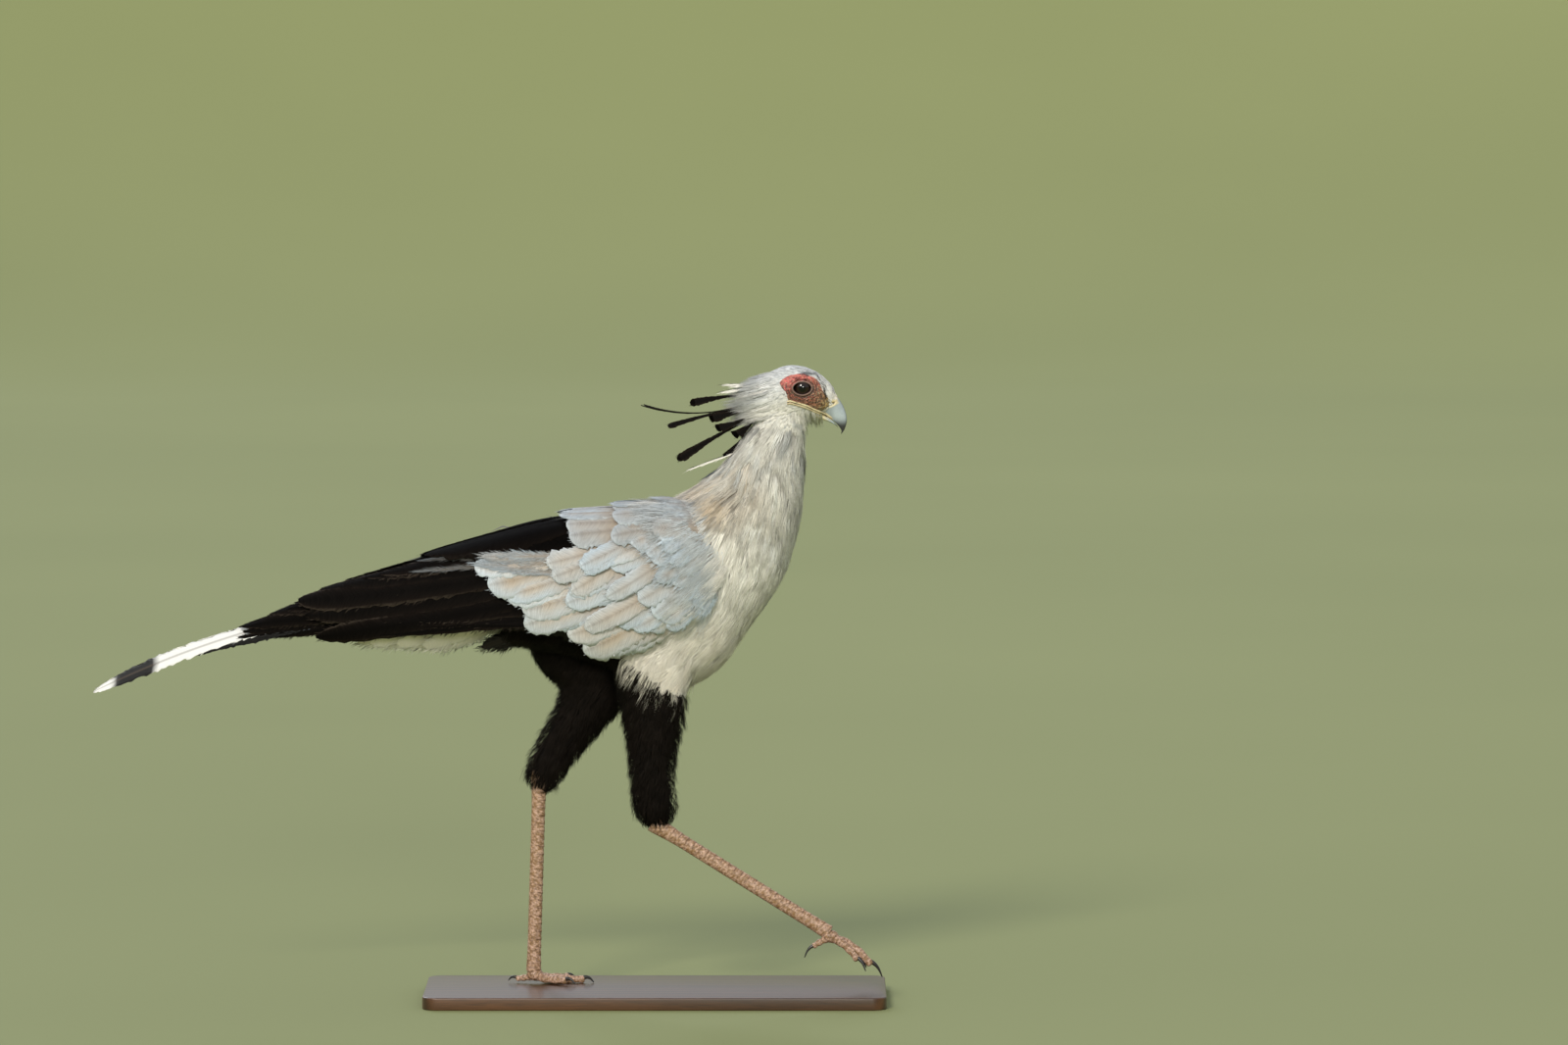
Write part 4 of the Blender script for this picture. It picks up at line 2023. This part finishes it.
def toe_radius(size):
    def radius(t):
        joint = TOE["joint_rise"] * np.cos(t * TOE["joints"] * 2 * math.pi)
        return size[2] * (1 - TOE["taper"] * t) + joint

    return radius


def toe_rise(size):
    def rise(t):
        phase = (t * size[1] / TOE["scute"]) % 1.0
        return TOE["rise"] * phase**2 * (1 - ramp(phase, 0.85, 1.0))

    return rise


def foot(side_name, leg):
    rng = np.random.default_rng(800)
    middle = np.array([leg["ankle"][0] + BALL["forward"], leg_y(leg), leg["ankle"][1] - BALL["drop"]])

    def ball_place(v, u):
        polar, turn = math.pi * v, 2 * math.pi * u
        way = np.stack([np.sin(polar) * np.cos(turn), np.sin(polar) * np.sin(turn), np.cos(polar)], -1)
        return middle + BALL["radius"] * way * np.array(BALL["stretch"])

    parts = [ball_piece("ball_part", 40, 40, ball_place)]
    for size in TOES.values():
        place = limb_place(toe_line(leg, size), toe_radius(size), toe_rise(size))
        parts.append(ball_piece("toe_part", 150, 32, place))
    piece = join(parts, f"foot_skin_{side_name}")
    apply_modifier(piece, "REMESH", mode="VOXEL", voxel_size=1.1 * MM)
    apply_modifier(piece, "SMOOTH", factor=0.4, iterations=2)
    piece.data.shade_smooth()
    points = points_of(piece.data)
    best = np.full(len(points), 1e9)
    seam = np.zeros(len(points))
    for size in TOES.values():
        t = np.linspace(0, 1, 200)
        line = smooth(toe_line(leg, size), t)
        away = ((points[:, None] - line[None]) ** 2).sum(-1)
        near = away.argmin(1)
        distance = away[np.arange(len(points)), near]
        phase = (t[near] * size[1] / TOE["scute"]) % 1.0
        over_line = ramp(points[:, 2] - line[near, 2], -1, 2)
        here = ramp(np.abs(phase - 0.5), 0.38, 0.48) * over_line
        seam = np.where(distance < best, here, seam)
        best = np.minimum(best, distance)
    set_colour(piece.data, leg_colour(points, seam, rng))
    dress(piece, LEG_SKIN, "leg_scales", f"foot_{side_name}")


def claw(side_name, leg, toe_name, size):
    line = toe_line(leg, size)
    start = smooth(line, np.array([0.9]))[0]
    along = unit(line[-1] - line[-2])
    flat = unit(np.array([along[0], along[1], 0]))
    hang = CLAW["hang"] if leg["side"] < 0 else 0
    length = size[3]
    points = []
    for t in (0, 0.33, 0.66, 1):
        point = start + flat * length * t * (1 - CLAW["arch"] * t * t)
        point[2] += length * (CLAW["arch"] * math.sin(math.pi * t) - CLAW["hook"] * t * t - hang * t)
        points.append(point)

    def radius(t):
        return size[2] * CLAW["thick"] * (1 - 0.9 * t) + CLAW["tip"]

    piece = ball_piece(
        f"nail_{side_name}_{toe_name}", 40, 28, limb_place(np.array(points), radius, lambda t: 0 * t)
    )
    own = points_of(piece.data)
    away = np.linalg.norm(own - start, axis=1) / length
    colour = mix(linear("#4b3d34"), linear("#1b1716"), ramp(away, 0.1, 0.5))
    set_colour(piece.data, colour)
    dress(piece, CLAW_HORN, "claws", f"claw_{side_name}_{toe_name}")


for side_name, leg in LEGS.items():
    shank(side_name, leg)
    foot(side_name, leg)
    for toe_name, size in TOES.items():
        claw(side_name, leg, toe_name, size)

# Board

BASE = {"length": 660, "width": 270, "height": 18, "corner": 22, "bevel": 2}


def walnut():
    """Oiled walnut: growth rings cut lengthwise, fine pores, a satin varnish."""
    material, tree, shader = new_material(
        "oiled_walnut", Roughness=0.4, Coat_Weight=0.35, Coat_Roughness=0.22
    )
    place = add_node(tree, "ShaderNodeTexCoord", {})
    stretched = add_node(
        tree, "ShaderNodeMapping", {"Vector": place.outputs["Object"], "Scale": (1.2, 14, 14)}
    )
    rings = add_node(
        tree,
        "ShaderNodeTexWave",
        {"Vector": stretched.outputs["Vector"], "Scale": 1.1, "Distortion": 7, "Detail": 4},
        wave_type="RINGS",
        rings_direction="X",
    )
    pores_place = add_node(
        tree, "ShaderNodeMapping", {"Vector": place.outputs["Object"], "Scale": (40, 900, 900)}
    )
    pores = add_node(
        tree, "ShaderNodeTexNoise", {"Vector": pores_place.outputs["Vector"], "Scale": 1, "Detail": 3}
    )
    wood = add_node(
        tree,
        "ShaderNodeMix",
        {"Factor": rings.outputs["Fac"], 6: rgba("#3a2416"), 7: rgba("#573720")},
        data_type="RGBA",
    )
    shade = add_node(
        tree,
        "ShaderNodeMapRange",
        {"Value": pores.outputs["Fac"], "From Min": 0.3, "From Max": 0.7, "To Min": 0.7, "To Max": 1.2},
    )
    grained = add_node(
        tree,
        "ShaderNodeVectorMath",
        {0: wood.outputs[2], "Scale": shade.outputs["Result"]},
        operation="SCALE",
    )
    tree.links.new(grained.outputs["Vector"], shader.inputs["Base Color"])
    relief = add_node(
        tree,
        "ShaderNodeBump",
        {"Height": pores.outputs["Fac"], "Strength": 0.3, "Distance": 0.2 * MM},
    )
    tree.links.new(relief.outputs["Normal"], shader.inputs["Normal"])
    return material


def board():
    bpy.ops.object.select_all(action="DESELECT")
    size = [BASE[k] * MM for k in ("length", "width", "height")]
    bpy.ops.mesh.primitive_cube_add(size=1, location=(0, 0, size[2] / 2), scale=size)
    piece = bpy.context.object
    piece.name = piece.data.name = "display_board"
    bpy.ops.object.transform_apply(location=True, rotation=True, scale=True)
    upright = [
        abs(edge.vertices[0] - edge.vertices[1]) >= 0
        and abs(points[0].co.z - points[1].co.z) > 1e-4
        for edge in piece.data.edges
        for points in [[piece.data.vertices[v] for v in edge.vertices]]
    ]
    weights = piece.data.attributes.new("bevel_weight_edge", "FLOAT", "EDGE")
    weights.data.foreach_set("value", np.array(upright, np.float32))
    apply_modifier(
        piece, "BEVEL", limit_method="WEIGHT", width=BASE["corner"] * MM, segments=12
    )
    apply_modifier(piece, "BEVEL", limit_method="ANGLE", width=BASE["bevel"] * MM, segments=4)
    piece.data.shade_smooth()
    dress(piece, walnut(), "base_wood", "stand_base")


board()

# Stage, light and camera


def stage_floor():
    """A floor whose rim curves up into a backdrop all round."""
    material, tree, shader = new_material("studio_floor", Roughness=0.9)
    place = add_node(tree, "ShaderNodeTexCoord", {})
    cloud = add_node(
        tree, "ShaderNodeTexNoise", {"Vector": place.outputs["Object"], "Scale": 0.25, "Detail": 3}
    )
    tone = add_node(
        tree,
        "ShaderNodeMix",
        {"Factor": cloud.outputs["Fac"], 6: rgba("#7f8658"), 7: rgba("#8d9363")},
        data_type="RGBA",
    )
    tree.links.new(tone.outputs[2], shader.inputs["Base Color"])
    radius, rim = 16.0, 8.0
    bpy.ops.object.select_all(action="DESELECT")
    bpy.ops.mesh.primitive_uv_sphere_add(segments=96, ring_count=48, radius=1)
    floor = bpy.context.object
    floor.name = "studio_floor"
    bpy.ops.object.mode_set(mode="EDIT")
    bpy.ops.mesh.select_all(action="SELECT")
    bpy.ops.mesh.bisect(plane_co=(0, 0, 0.98), plane_no=(0, 0, 1), clear_outer=True)
    bpy.ops.object.mode_set(mode="OBJECT")
    ball = points_of(floor.data) * MM
    polar = np.arccos(np.clip(-ball[:, 2], -1, 1)) / math.pi
    flat = np.minimum(polar / 0.5, 1) * radius
    height = np.maximum(polar - 0.5, 0) / 0.5
    turn = np.arctan2(ball[:, 1], ball[:, 0])
    out = np.where(polar > 0.5, radius + rim * np.sin(height * math.pi / 2), flat)
    up = rim * (1 - np.cos(height * math.pi / 2)) * 0.6
    place = np.stack([out * np.cos(turn), out * np.sin(turn), up], -1)
    floor.data.vertices.foreach_set("co", place.astype(np.float32).ravel())
    floor.data.shade_smooth()
    floor.data.materials.append(material)


def sun(name, way, strength, spread, colour):
    """A distant light that shines along way."""
    light = bpy.data.lights.new(name, "SUN")
    light.energy, light.angle, light.color = strength, math.radians(spread), linear(colour)
    lamp = bpy.data.objects.new(name, light)
    bpy.context.scene.collection.objects.link(lamp)
    lamp.rotation_euler = Vector(way).to_track_quat("-Z", "Y").to_euler()


CAMERA = {"lens": 200, "sensor": 36, "distance": 12.44, "elevation": 4.0, "x": 0.184, "z": 0.6846}


def lights():
    sun("key", (0.3, 0.9, -0.55), 2.1, 14, "#fff8ec")
    sun("fill", (-0.15, 1.0, -0.25), 0.7, 10, "#f4f6ea")
    sun("rim", (0.3, -0.8, -0.6), 0.8, 20, "#eef3ff")
    world = bpy.data.worlds.new("overcast_sky")
    world.use_nodes = True
    sky = world.node_tree.nodes["Background"]
    sky.inputs["Color"].default_value = rgba("#e4eaef")
    sky.inputs["Strength"].default_value = 0.7
    scene = bpy.context.scene
    scene.world = world
    scene.view_settings.view_transform = "Standard"


def camera():
    lens = bpy.data.cameras.new("camera")
    lens.lens, lens.sensor_width = CAMERA["lens"], CAMERA["sensor"]
    lens.clip_end = 100
    shot = bpy.data.objects.new("camera", lens)
    bpy.context.scene.collection.objects.link(shot)
    rise = math.radians(CAMERA["elevation"])
    target = Vector((CAMERA["x"], 0.0, CAMERA["z"]))
    away = Vector((0.0, -math.cos(rise), math.sin(rise))) * CAMERA["distance"]
    shot.location = target + away
    shot.rotation_euler = (-away).to_track_quat("-Z", "Y").to_euler()
    bpy.context.scene.camera = shot


stage_floor()
lights()
camera()
